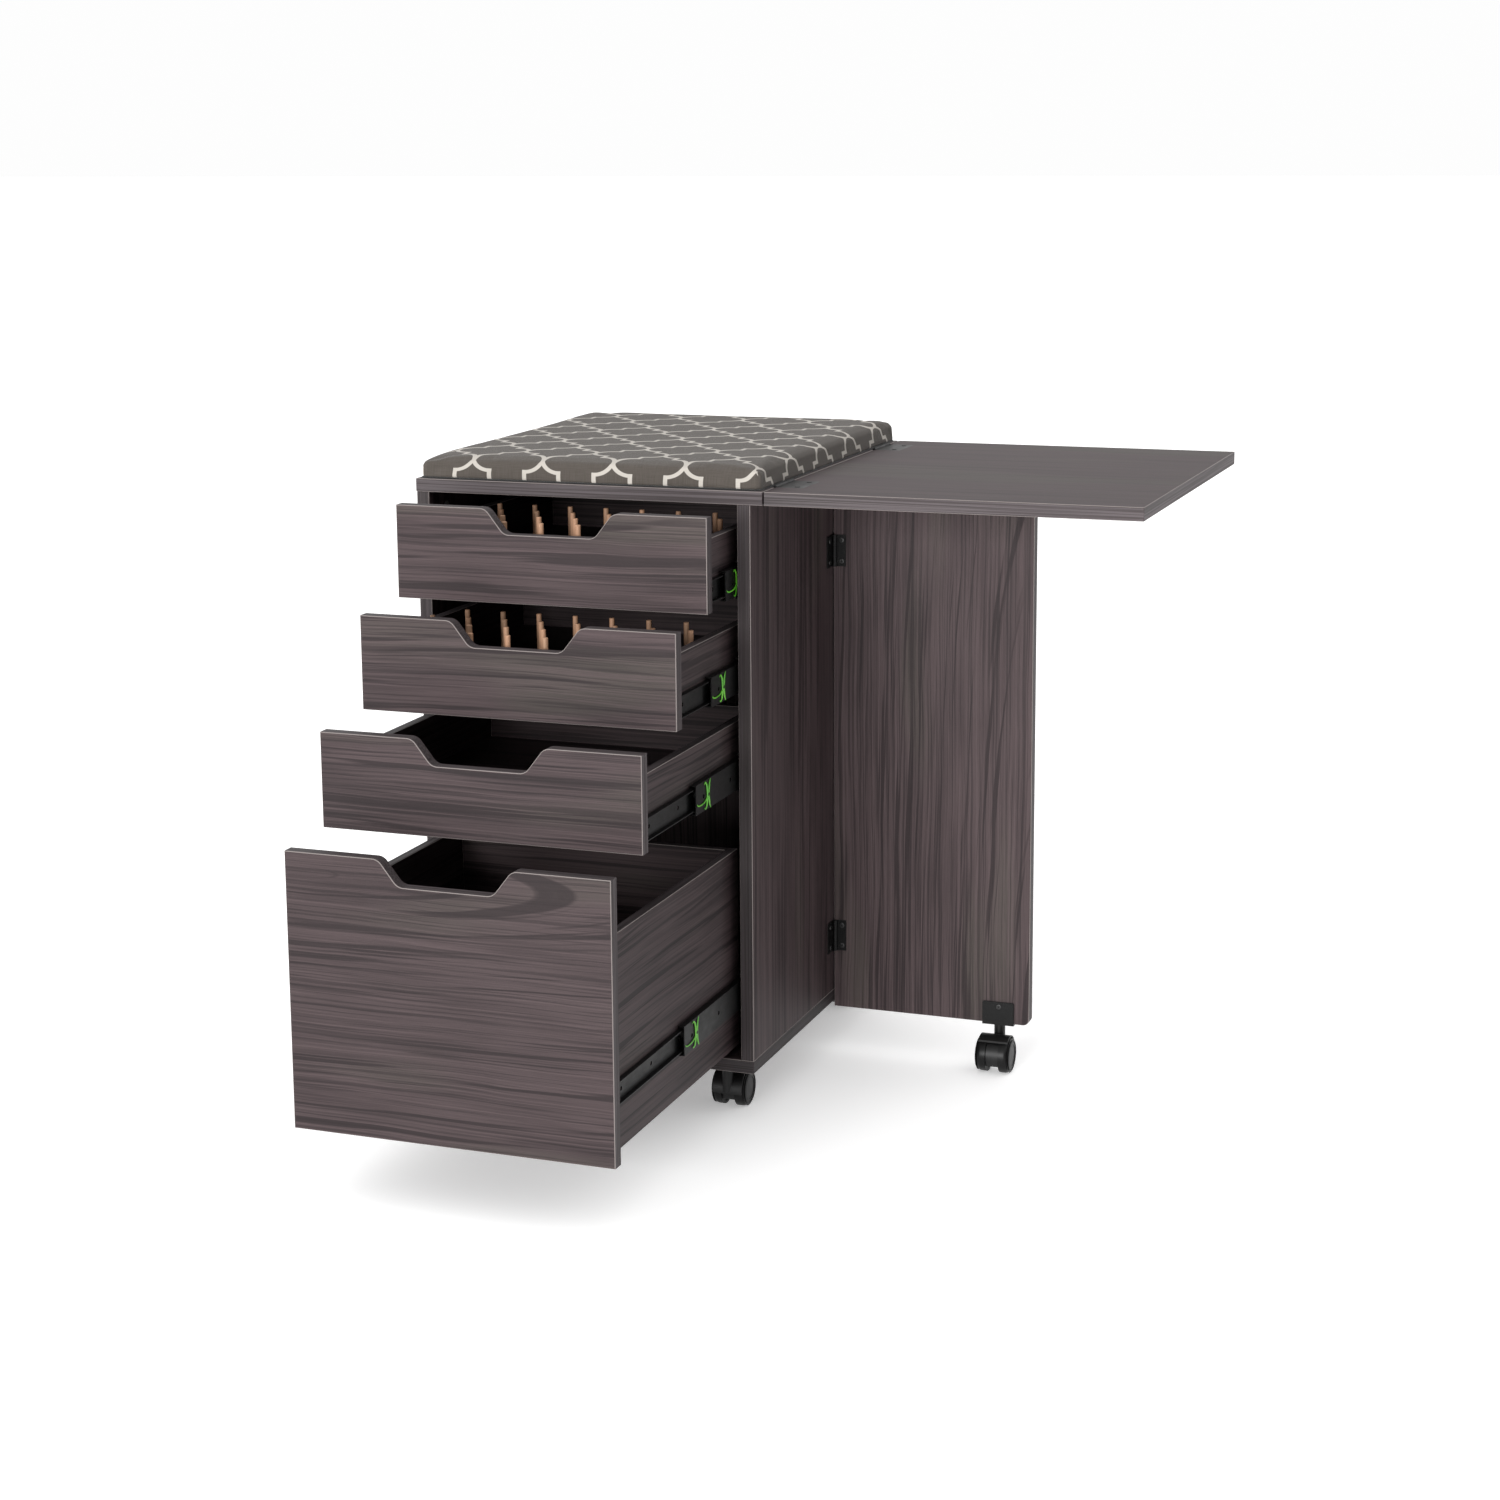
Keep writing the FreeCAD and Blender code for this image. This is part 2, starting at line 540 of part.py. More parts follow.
def screw_head(place, direction):
    """Shallow domed head that sits on a plate."""
    base = Vec(*place)
    head = Part.makeCylinder(SCREW_HEAD, SCREW_PROUD, base, Vec(*direction))
    rim = [edge for edge in head.Edges if (edge.CenterOfMass - base).Length > SCREW_PROUD * 0.9]
    return head.makeChamfer(SCREW_PROUD / 2, rim[:1])


def hinge_screws():
    """Screw heads on the fixed plates, then on the gate's plates, then on the leaf's plates."""
    fixed, gate, leaf = [], [], []
    for z in GATE_HINGE_Z:
        for offset in (-GATE_HINGE_HEIGHT / 3, GATE_HINGE_HEIGHT / 3):
            y = GATE_AXIS[1] - (GATE_HINGE_FIXED + GATE_KNUCKLE) / 2
            fixed.append(screw_head((X_RIGHT + HINGE_SHEET, y, z + offset), (1, 0, 0)))
            x = GATE_AXIS[0] + (GATE_HINGE_MOVING + GATE_KNUCKLE) / 2
            gate.append(screw_head((x, Y_GATE - HINGE_SHEET, z + offset), (0, -1, 0)))
    for y in LEAF_HINGE_Y:
        for offset in (-LEAF_HINGE_LENGTH / 3, LEAF_HINGE_LENGTH / 3):
            leaf.append(screw_head((X_SEAM + LEAF_HINGE_WIDTH * 0.7, y + offset, Z_TOP), (0, 0, 1)))
    return fixed, gate, leaf


def build_hinges():
    gate = [gate_hinge(z) for z in GATE_HINGE_Z]
    leaf = [leaf_hinge(y) for y in LEAF_HINGE_Y]
    fixed_screws, gate_screws, leaf_screws = hinge_screws()
    export("gate_hinge_fixed_plates", [hinge[0] for hinge in gate] + fixed_screws)
    export("gate_hinge_moving_plates", [hinge[1] for hinge in gate] + gate_screws)
    export("leaf_hinge_fixed_plates", [hinge[0] for hinge in leaf])
    export("leaf_hinge_moving_plates", [hinge[1] for hinge in leaf] + leaf_screws)
    export("hinge_pins", [hinge[2] for hinge in gate + leaf])


# ---- gate leg ---------------------------------------------------------------------
def gate_panel():
    blank = box((X_GATE, Y_GATE, Z_GATE_LOW), (X_GATE_END, Y_GATE + BOARD, Z_GATE_HIGH))
    corner = [edge for edge in blank.Edges
              if edge.BoundBox.XMin > X_GATE_END - 1 and edge.BoundBox.ZMax < Z_GATE_LOW + 1
              and edge.BoundBox.YLength > BOARD - 1]
    panel = blank.makeFillet(GATE_CORNER, corner)
    face_edges = [edge for edge in panel.Edges if edge.BoundBox.YLength < 0.01]
    panel = panel.makeChamfer(EASE, face_edges)
    stem = (X_RIGHT + GATE_CASTER, Y_GATE + BOARD / 2)
    bore_low = (stem[0], stem[1], Z_GATE_LOW - 1)
    bore_high = (stem[0], stem[1], Z_GATE_LOW + STEM_LENGTH + 1)
    return panel.cut(rod(STEM_RADIUS + 2 * END_GAP, bore_low, bore_high))


def gate_bracket():
    """U-shaped caster bracket that hugs the gate's lower edge, and its two screws."""
    x = X_RIGHT + GATE_CASTER
    half = BRACKET_WIDTH / 2
    outer_low = (x - half, Y_GATE - BRACKET_SHEET, Z_GATE_LOW - BRACKET_SHEET)
    outer_high = (x + half, Y_GATE + BOARD + BRACKET_SHEET, Z_GATE_LOW + BRACKET_HEIGHT)
    inner_low = (x - half - 1, Y_GATE, Z_GATE_LOW)
    inner_high = (x + half + 1, Y_GATE + BOARD, Z_GATE_LOW + BRACKET_HEIGHT + 1)
    block = box(outer_low, outer_high)
    corners = [edge for edge in block.Edges if edge.BoundBox.XLength < 0.01 and edge.BoundBox.ZLength < 0.01]
    uprights = [edge for edge in corners if edge.BoundBox.ZMin > Z_GATE_LOW + BRACKET_HEIGHT - 1]
    block = block.makeFillet(2.0, uprights)
    stem_y = Y_GATE + BOARD / 2
    bore = rod(STEM_RADIUS + RUNNING, (x, stem_y, Z_GATE_LOW - BRACKET_SHEET - 1), (x, stem_y, Z_GATE_LOW + 1))
    bracket = block.cut(box(inner_low, inner_high)).cut(bore)
    z_screw = Z_GATE_LOW + BRACKET_HEIGHT - 6
    front = screw_head((x + 1, Y_GATE - BRACKET_SHEET, z_screw), (0, -1, 0))
    rear = screw_head((x + 1, Y_GATE + BOARD + BRACKET_SHEET, z_screw), (0, 1, 0))
    return [bracket, front, rear]


# ---- casters ----------------------------------------------------------------------
def caster_plate(x, y):
    half = PLATE_SIZE / 2
    plate = box((x - half, y - half, Z_BOTTOM - PLATE_SHEET), (x + half, y + half, Z_BOTTOM))
    uprights = [edge for edge in plate.Edges if edge.BoundBox.ZLength > PLATE_SHEET / 2]
    plate = plate.makeFillet(5.0, uprights)
    return plate.cut(rod(STEM_RADIUS + RUNNING, (x, y, Z_BOTTOM - PLATE_SHEET - 1), (x, y, Z_BOTTOM + 1)))


def caster_plate_screws(x, y):
    reach = PLATE_SIZE / 2 - 7
    screws = []
    for dx in (-reach, reach):
        for dy in (-reach, reach):
            screws.append(screw_head((x + dx, y + dy, Z_BOTTOM - PLATE_SHEET), (0, 0, -1)))
    return screws


def caster_fork(x, y, z_seat, trail):
    """Housing, cover and neck as one moulding, with its axle. trail is +1 to the rear, -1 to the front."""
    y_axle = y + trail * TRAIL
    half = HOUSING_WIDTH / 2
    housing = rod(HOUSING_RADIUS, (x - half, y_axle, Z_AXLE), (x + half, y_axle, Z_AXLE))
    cover_half = COVER_WIDTH / 2
    outer = rod(COVER_RADIUS, (x - cover_half, y_axle, Z_AXLE), (x + cover_half, y_axle, Z_AXLE))
    inner_radius = COVER_RADIUS - COVER_SHEET
    inner = rod(inner_radius, (x - cover_half - 1, y_axle, Z_AXLE), (x + cover_half + 1, y_axle, Z_AXLE))
    cover = outer.cut(inner)
    away = y_axle + trail * COVER_RADIUS * 0.55
    near = y_axle - trail * (COVER_RADIUS + 1)
    ys = sorted((near, away))
    keep = box((x - COVER_WIDTH, ys[0], Z_AXLE - 2), (x + COVER_WIDTH, ys[1], Z_AXLE + COVER_RADIUS + 1))
    cover = cover.common(keep)
    bridge_ys = sorted((y_axle - trail * 6, y_axle + trail * 6))
    z_bridge = Z_AXLE + inner_radius + 0.5
    bridge = box((x - half, bridge_ys[0], Z_AXLE + 10), (x + half, bridge_ys[1], z_bridge))
    neck = rod(NECK_RADIUS, (x, y, Z_AXLE), (x, y, z_seat - END_GAP))
    wheel_space = WHEEL_RADIUS + 0.4
    for side in (-1, 1):
        start = (x + side * half, y_axle, Z_AXLE)
        end = (x + side * (half + 2 * WHEEL_WIDTH), y_axle, Z_AXLE)
        neck = neck.cut(rod(wheel_space, start, end))
    stem = rod(STEM_RADIUS, (x, y, z_seat - 1), (x, y, z_seat + STEM_LENGTH))
    body = housing.fuse([cover, bridge, neck, stem])
    low_cut_low = (x - COVER_WIDTH, y_axle - COVER_RADIUS, 0)
    low_cut_high = (x + COVER_WIDTH, y_axle + COVER_RADIUS, Z_AXLE - HOUSING_RADIUS + 8)
    body = body.cut(box(low_cut_low, low_cut_high))
    reach = WHEEL_OFFSET + WHEEL_WIDTH - 2
    axle = rod(AXLE_RADIUS, (x - reach, y_axle, Z_AXLE), (x + reach, y_axle, Z_AXLE))
    return [body.removeSplitter().cut(axle), axle]


def caster_wheels(x, y, trail):
    """The twin wheels, each with a rounded tread edge and a blind bore on the axle."""
    y_axle = y + trail * TRAIL
    wheels = []
    for side in (-1, 1):
        start = (x + side * WHEEL_OFFSET, y_axle, Z_AXLE)
        end = (x + side * (WHEEL_OFFSET + WHEEL_WIDTH), y_axle, Z_AXLE)
        wheel = rod(WHEEL_RADIUS, start, end)
        x_outer = x + side * (WHEEL_OFFSET + WHEEL_WIDTH)
        rim = [edge for edge in wheel.Edges
               if abs(edge.CenterOfMass.x - x_outer) < 0.01 and edge.BoundBox.ZLength > 1]
        wheel = wheel.makeFillet(5.0, rim)
        x_blind = x + side * (WHEEL_OFFSET + WHEEL_WIDTH - 2 + END_GAP)
        bore = rod(AXLE_RADIUS + RUNNING, (x, y_axle, Z_AXLE), (x_blind, y_axle, Z_AXLE))
        wheels.append(wheel.cut(bore))
    return wheels


def build_casters():
    names = ["front_left", "front_right", "rear_left", "rear_right"]
    trails = [1, 1, 1, 1]
    plates, screws = [], []
    for name, trail, (x, y) in zip(names, trails, caster_places()):
        plates.append(caster_plate(x, y))
        screws.extend(caster_plate_screws(x, y))
        export("caster_%s_fork" % name, caster_fork(x, y, Z_BOTTOM - PLATE_SHEET, trail))
        export("caster_%s_wheels" % name, caster_wheels(x, y, trail))
    export("caster_plates", plates + screws)
    x = X_RIGHT + GATE_CASTER
    y = Y_GATE + BOARD / 2
    export("caster_gate_fork", caster_fork(x, y, Z_GATE_LOW - BRACKET_SHEET, -1))
    export("caster_gate_wheels", caster_wheels(x, y, -1))


# ---- pad --------------------------------------------------------------------------
def pad_base():
    inset = PAD_INSET + PAD_BASE_INSET
    low = (X_TOP_LEFT + inset, Y_FRONT + inset, Z_TOP)
    high = (X_TOP_RIGHT - inset, Y_TOP_REAR - inset, Z_TOP + PAD_BASE)
    return box(low, high)


def pad_cushion():
    low = (X_TOP_LEFT + PAD_INSET, Y_FRONT + PAD_INSET, Z_TOP + PAD_BASE)
    high = (X_TOP_RIGHT - PAD_INSET, Y_TOP_REAR - PAD_INSET, Z_TOP + PAD_BASE + PAD_CUSHION)
    blank = box(low, high)
    upper = [edge for edge in blank.Edges if edge.BoundBox.ZMin > Z_TOP + PAD_BASE + 1]
    return blank.makeFillet(PAD_ROUND, upper)


# ---- build ------------------------------------------------------------------------
def build():
    os.makedirs("parts", exist_ok=True)
    export("side_panel_left", [side_panel(X_LEFT, X_IN_LEFT)])
    export("side_panel_right", [side_panel(X_IN_RIGHT, X_RIGHT)])
    export("bottom_panel", [bottom_panel()])
    export("back_panel", [back_panel()])
    export("top_panel", [top_panel()])
    export("cam_fasteners", [cam(place, CAM_RADIUS, CAM_DEPTH) for place in cam_places()])
    outer_members = []
    for number, z_low in enumerate(front_bottoms(), start=1):
        build_drawer(number, z_low, outer_members)
    export("slide_outer_members", outer_members)
    build_hinges()
    export("leaf_panel", [leaf_panel()])
    export("gate_panel", [gate_panel()])
    export("gate_caster_bracket", gate_bracket())
    build_casters()
    export("pad_base", [pad_base()])
    export("pad_cushion", [pad_cushion()])


build()
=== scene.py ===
# %% [markdown]
# # A rolling sewing cabinet with an unfolded work leaf
# This lesson dresses a finished CAD model. The boards, slides, hinges and casters arrive as fixed meshes, and we
# give them their surfaces. Soft things and small worked details are modelled here. Everything is in metres: the
# floor is z = 0, the drawers open towards -Y, and the leaf lies towards +X.

# %% Load the fixed frame
import math

import bpy
from mathutils import Matrix, Vector


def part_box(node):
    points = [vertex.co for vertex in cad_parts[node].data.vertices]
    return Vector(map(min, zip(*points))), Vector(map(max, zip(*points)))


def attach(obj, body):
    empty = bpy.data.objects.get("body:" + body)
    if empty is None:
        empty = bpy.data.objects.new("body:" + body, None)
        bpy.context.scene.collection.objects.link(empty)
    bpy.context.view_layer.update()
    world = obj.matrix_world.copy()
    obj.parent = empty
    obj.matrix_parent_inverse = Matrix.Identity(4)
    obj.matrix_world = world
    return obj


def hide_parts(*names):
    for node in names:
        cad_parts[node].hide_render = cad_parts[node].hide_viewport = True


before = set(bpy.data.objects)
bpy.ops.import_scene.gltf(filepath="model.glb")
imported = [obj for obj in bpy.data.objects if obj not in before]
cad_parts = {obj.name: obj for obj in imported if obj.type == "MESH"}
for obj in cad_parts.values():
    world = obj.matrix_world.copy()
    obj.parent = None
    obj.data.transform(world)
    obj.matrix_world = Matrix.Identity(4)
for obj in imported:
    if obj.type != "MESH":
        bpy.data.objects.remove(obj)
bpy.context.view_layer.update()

MM = 0.001
X_AXIS, Y_AXIS, Z_AXIS = 0, 1, 2

# %% [markdown]
# ## Camera
# A long lens from the front right, a little above the work surface. The height, distance and turn were settled
# so that the leaf's far edge still shows as a thin strip. Blender cameras look along their own -Z, so we build
# the three axes of the view ourselves and put them in a matrix.

# %% Camera
CAMERA_PLACE = Vector((1.112, -3.173, 1.213))
CAMERA_TURN = 0.3669
CAMERA_DIP = 0.1880
CAMERA_ROLL = 0.0105
CAMERA_LENS = 69.06
CAMERA_SHIFT = (0.0333, -0.0667)


def make_camera():
    forward = Vector((
        -math.sin(CAMERA_TURN) * math.cos(CAMERA_DIP),
        math.cos(CAMERA_TURN) * math.cos(CAMERA_DIP),
        -math.sin(CAMERA_DIP),
    ))
    level = Vector((math.cos(CAMERA_TURN), math.sin(CAMERA_TURN), 0))
    down = forward.cross(level)
    right = level * math.cos(CAMERA_ROLL) + down * math.sin(CAMERA_ROLL)
    up = level * math.sin(CAMERA_ROLL) - down * math.cos(CAMERA_ROLL)
    bpy.ops.object.camera_add()
    camera = bpy.context.object
    camera.name = "studio_camera"
    rows = Matrix((right, up, -forward)).transposed().to_4x4()
    camera.matrix_world = Matrix.Translation(CAMERA_PLACE) @ rows
    camera.data.lens = CAMERA_LENS
    camera.data.sensor_width = 36.0
    camera.data.shift_x, camera.data.shift_y = CAMERA_SHIFT
    camera.data.clip_end = 60.0
    bpy.context.scene.camera = camera
    return camera


bpy.ops.object.select_all(action="DESELECT")
camera = make_camera()
print("camera stands", round(camera.location.length, 2), "m from the middle of the floor")

# %% [markdown]
# ## Studio
# A pale floor that runs far enough back to have no horizon, and one wide soft light at the height of the eye, in
# front and a little to the left, so that upright boards are lit evenly. The floor is a light table with a faint
# glow of its own, which keeps the shadows faint. The air is white, but darker low at the sides and behind the
# camera, so that upright boards keep their depth.


# %% Node helpers
def new_material(name):
    """A material with its Principled shader."""
    material = bpy.data.materials.new(name)
    material.use_nodes = True
    return material, material.node_tree.nodes["Principled BSDF"]


def node(tree, kind, **settings):
    made = tree.nodes.new(kind)
    for name, value in settings.items():
        setattr(made, name, value)
    return made


def plug(tree, socket, value):
    """Link an output to a socket, or type a number or colour into it."""
    if isinstance(value, bpy.types.NodeSocket):
        tree.links.new(value, socket)
    else:
        socket.default_value = value


def calc(tree, operation, *values, clamp=False):
    made = node(tree, "ShaderNodeMath", operation=operation, use_clamp=clamp)
    for socket, value in zip(made.inputs, values):
        plug(tree, socket, value)
    return made.outputs[0]


def blend_number(tree, share, first, second):
    made = node(tree, "ShaderNodeMix", data_type="FLOAT")
    for socket, value in zip(made.inputs[:4], (share, None, first, second)):
        if value is not None:
            plug(tree, socket, value)
    return made.outputs[0]


def blend_colour(tree, share, first, second, kind="MIX"):
    made = node(tree, "ShaderNodeMix", data_type="RGBA", blend_type=kind)
    plug(tree, made.inputs[0], share)
    plug(tree, made.inputs[6], first)
    plug(tree, made.inputs[7], second)
    return made.outputs[2]


def noise(tree, vector, scale, detail=2.0, roughness=0.5):
    made = node(tree, "ShaderNodeTexNoise")
    plug(tree, made.inputs["Vector"], vector)
    made.inputs["Scale"].default_value = scale
    made.inputs["Detail"].default_value = detail
    made.inputs["Roughness"].default_value = roughness
    return made.outputs["Fac"]


def rise(tree, value, low, high):
    """0 below low, 1 above high and a smooth rise between."""
    made = node(tree, "ShaderNodeMapRange", interpolation_type="SMOOTHSTEP")
    plug(tree, made.inputs["Value"], value)
    made.inputs["From Min"].default_value = low
    made.inputs["From Max"].default_value = high
    return made.outputs["Result"]


def axes_of(tree, vector):
    made = node(tree, "ShaderNodeSeparateXYZ")
    plug(tree, made.inputs[0], vector)
    return list(made.outputs)


def point(tree, x, y, z):
    made = node(tree, "ShaderNodeCombineXYZ")
    for socket, value in zip(made.inputs, (x, y, z)):
        plug(tree, socket, value)
    return made.outputs[0]


def bump(tree, shader, height, distance, strength=1.0):
    made = node(tree, "ShaderNodeBump")
    made.inputs["Distance"].default_value = distance
    made.inputs["Strength"].default_value = strength
    plug(tree, made.inputs["Height"], height)
    plug(tree, shader.inputs["Normal"], made.outputs[0])


def grey(level):
    return (level, level, level, 1.0)


# %% Floor and lights
FLOOR_SIZE = 60.0
FLOOR_GLOW = 0.3
MAIN_PLACE = (-1.0, -8.0, 1.7)
MAIN_AIM = (-0.1, 0, 0.4)
MAIN_SIZE = (3.4, 2.4)
MAIN_WATTS = 640
CARD_GREY = 0.14


def make_floor():
    bpy.ops.mesh.primitive_plane_add(size=FLOOR_SIZE, location=(0, FLOOR_SIZE / 5, 0))
    floor = bpy.context.object
    floor.name = "studio_floor"
    material, shader = new_material("studio_paper")
    tree = material.node_tree
    place = node(tree, "ShaderNodeTexCoord").outputs["Object"]
    cloudy = noise(tree, place, 0.7)
    plug(tree, shader.inputs["Base Color"], blend_colour(tree, cloudy, grey(0.94), grey(0.96)))
    shader.inputs["Roughness"].default_value = 0.9
    shader.inputs["Specular IOR Level"].default_value = 0.1
    shader.inputs["Emission Color"].default_value = grey(1.0)
    shader.inputs["Emission Strength"].default_value = FLOOR_GLOW
    floor.data.materials.append(material)


def make_light(name, place, aim, size, power):
    bpy.ops.object.light_add(type="AREA", location=place)
    light = bpy.context.object
    light.name = name
    light.data.shape = "RECTANGLE"
    light.data.size, light.data.size_y = size
    light.data.energy = power
    direction = Vector(aim) - Vector(place)
    light.rotation_euler = direction.to_track_quat("-Z", "Y").to_euler()


def make_air():
    """White surroundings, with black cards low at both sides and behind the camera."""
    world = bpy.data.worlds.new("studio_air")
    bpy.context.scene.world = world
    world.use_nodes = True
    tree = world.node_tree
    direction = axes_of(tree, node(tree, "ShaderNodeTexCoord").outputs["Generated"])
    sideways = calc(tree, "MULTIPLY", calc(tree, "ABSOLUTE", direction[0]), 0.5)
    towards_cards = calc(tree, "SUBTRACT", sideways, calc(tree, "MULTIPLY", direction[1], 0.8))
    cards = calc(tree, "MULTIPLY", rise(tree, towards_cards, 0.05, 0.7), rise(tree, direction[2], 0.7, 0.1))
    open_air = blend_colour(tree, rise(tree, direction[2], 0.1, 0.8), grey(0.985), grey(1.25))
    plug(tree, tree.nodes["Background"].inputs["Color"], blend_colour(tree, cards, open_air, grey(CARD_GREY)))
    tree.nodes["Background"].inputs["Strength"].default_value = 1.0


def make_studio():
    make_floor()
    make_light("main_light", MAIN_PLACE, MAIN_AIM, MAIN_SIZE, MAIN_WATTS)
    make_air()
    bpy.context.scene.view_settings.view_transform = "Standard"


make_studio()
print("studio: one floor, one soft light, white air")


# %% [markdown]
# ## Wood-grain laminate
# The boards wear a printed grey-brown wood grain under a satin clear coat. A print of sawn wood has three scales:
# wide tones, growth rings that show as long streaks with arches where the cut runs near the ring's middle, and
# fine fibres with short dark pores. All three come from one idea: stretch the coordinates along the grain. The
# grain turns by a quarter on the end faces, where a band is ironed on, so the object's own normal picks the
# direction. The thin bevel beside each face gets a painted highlight: a light line that stands for light caught
# on the eased edge, and also for the seam where the band meets the face.


# %% Grain coordinates
def grain_places(tree, grain, thickness, shift):
    """Distances along, across and through the board, in metres, with the bands' grain turned."""
    source = node(tree, "ShaderNodeTexCoord")
    place = axes_of(tree, source.outputs["Object"])
    facing = axes_of(tree, source.outputs["Normal"])
    across = 3 - grain - thickness
    end_face = calc(tree, "GREATER_THAN", calc(tree, "ABSOLUTE", facing[grain]), 0.8)
    along = blend_number(tree, end_face, place[grain], place[across])
    over = blend_number(tree, end_face, place[across], place[grain])
    over = calc(tree, "ADD", over, calc(tree, "MULTIPLY", facing[across], 0.31))
    over = calc(tree, "ADD", over, calc(tree, "MULTIPLY", facing[thickness], 0.17))
    return calc(tree, "ADD", along, shift * 3.0), calc(tree, "ADD", over, shift), place[thickness], facing[thickness]


def streaks(tree, along, over, deep, along_scale, over_scale, detail=2.0, roughness=0.55):
    """Noise drawn out along the grain."""
    stretched = point(
        tree,
        calc(tree, "MULTIPLY", along, along_scale),
        calc(tree, "MULTIPLY", over, over_scale),
        calc(tree, "MULTIPLY", deep, over_scale),
    )
    return noise(tree, stretched, 1.0, detail, roughness)


def wavy(tree, along, over, deep, amount):
    """The distance across, bent a little, so that no line of the grain runs dead straight."""
    slow = streaks(tree, along, over, deep, 3.5, 9.0, 1.0)
    quick = streaks(tree, along, over, deep, 16.0, 30.0, 1.0)
    bend = calc(tree, "ADD", calc(tree, "MULTIPLY", slow, amount), calc(tree, "MULTIPLY", quick, amount * 0.16))
    return calc(tree, "ADD", over, bend)


def ring_distance(tree, along, over, centre, depth, slope):
    """Distance to the tree's middle, which lies behind the face and leans to it by slope."""
    aside = calc(tree, "SUBTRACT", over, centre)
    below = calc(tree, "ADD", calc(tree, "MULTIPLY", along, slope), depth)
    return calc(tree, "SQRT", calc(tree, "ADD", calc(tree, "POWER", aside, 2.0), calc(tree, "POWER", below, 2.0)))


# %% The laminate itself
PALE_TONE = (0.087, 0.062, 0.064, 1.0)
MAIN_TONE = (0.048, 0.0327, 0.0345, 1.0)
DARK_TONE = (0.015, 0.0092, 0.0103, 1.0)
GREEN_TONE = (0.049, 0.042, 0.036, 1.0)
# Painted highlight: the light tone laid on the bevels, standing for light caught on the eased edges.
ARRIS_PAINTED_HIGHLIGHT = (0.26, 0.23, 0.22, 1.0)
BAND_TONE = (0.092, 0.080, 0.084, 1.0)
BAND_DARK = (0.036, 0.030, 0.031, 1.0)
RINGS_PER_METRE = 140.0
WAVE = 0.011


def laminate(name, grain, thickness, shift=0.0, centre=0.0, depth=0.05, slope=0.12, shade=1.0, figure=1.0, band=0.8):
    """Printed wood grain. grain and thickness are axis numbers; shade darkens it, figure is its contrast and
    band is how light the ironed-on edge is beside the faces. Each layer is a pattern, the two values between
    which it fades in, its share and its colour."""
    material, shader = new_material(name)
    tree = material.node_tree
    along, over, deep, facing = grain_places(tree, grain, thickness, shift)
    bent = wavy(tree, along, over, deep, WAVE)
    board_along = calc(tree, "SUBTRACT", along, shift * 3.0)
    rings = ring_distance(tree, board_along, bent, centre + shift, depth, slope)
    ring_count = calc(tree, "MULTIPLY", rings, RINGS_PER_METRE)
    ring_place = point(tree, ring_count, shift * 9, calc(tree, "MULTIPLY", along, 2.2))
    ring_lines = noise(tree, ring_place, 1.0, 2.0, 0.6)
    dark_bands = streaks(tree, along, bent, deep, 2.0, 150.0, 3.0, 0.58)
    thin_lines = streaks(tree, along, bent, deep, 2.4, 380.0, 3.0, 0.64)
    wide = streaks(tree, along, over, deep, 4.0, 22.0, 2.0)
    hue = streaks(tree, along, over, deep, 2.2, 12.0, 1.0)
    fibres = streaks(tree, along, over, deep, 45.0, 1500.0, 2.0, 0.6)
    tone = blend_colour(tree, calc(tree, "MULTIPLY", rise(tree, hue, 0.54, 0.68), 0.7), MAIN_TONE, GREEN_TONE)
    layers = (
        (wide, 0.40, 0.62, 0.24, PALE_TONE),
        (wide, 0.48, 0.30, 0.30, DARK_TONE),
        (thin_lines, 0.52, 0.62, 0.46, PALE_TONE),
        (thin_lines, 0.47, 0.37, 0.60, DARK_TONE),
        (ring_lines, 0.54, 0.62, 0.80, DARK_TONE),
        (dark_bands, 0.56, 0.65, 0.52, DARK_TONE),
    )
    for pattern, starts, full, share, colour in layers:
        strength = calc(tree, "MULTIPLY", rise(tree, pattern, starts, full), share * figure)
        tone = blend_colour(tree, strength, tone, colour)
    fibre_shade = blend_number(tree, fibres, 0.80, 1.20)
    tone = blend_colour(tree, 1.0, tone, point(tree, fibre_shade, fibre_shade, fibre_shade), "MULTIPLY")
    tone = blend_colour(tree, 1.0, tone, grey(shade), "MULTIPLY")
    bevel = calc(tree, "ABSOLUTE", facing)
    plies = streaks(tree, along, over, deep, 3.0, 520.0, 2.0)
    band_tone = blend_colour(tree, rise(tree, plies, 0.42, 0.60), BAND_DARK, BAND_TONE)
    band_tone = blend_colour(tree, 1.0, band_tone, grey(band), "MULTIPLY")
    tone = blend_colour(tree, calc(tree, "MULTIPLY", rise(tree, bevel, 0.2, 0.1), 0.7), tone, band_tone)
    # Painted highlight: the bevel faces between a face and its band are tinted light, as light on the eased edge would
    # show.
    bevel_highlight_mask = calc(tree, "MULTIPLY", rise(tree, bevel, 0.2, 0.4), rise(tree, bevel, 0.95, 0.85))
    plug(tree, shader.inputs["Base Color"], blend_colour(tree, calc(tree, "MULTIPLY", bevel_highlight_mask, 0.8), tone, ARRIS_PAINTED_HIGHLIGHT))
    plug(tree, shader.inputs["Roughness"], blend_number(tree, thin_lines, 0.50, 0.66))
    shader.inputs["Specular IOR Level"].default_value = 0.22
    grooves = calc(tree, "ADD", calc(tree, "MULTIPLY", fibres, 0.5), thin_lines)
    bump(tree, shader, grooves, 0.12 * MM, 0.35)
    return material


def dress(name, material):
    """Give a CAD node one material."""
    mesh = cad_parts[name].data
    mesh.materials.clear()
    mesh.materials.append(material)


# %% [markdown]
# Every board gets its own cut of the print: the fronts run sideways, the sides and the gate upright, the drawer
# boxes front to back. A different shift and ring centre for each board keeps the figure from repeating.

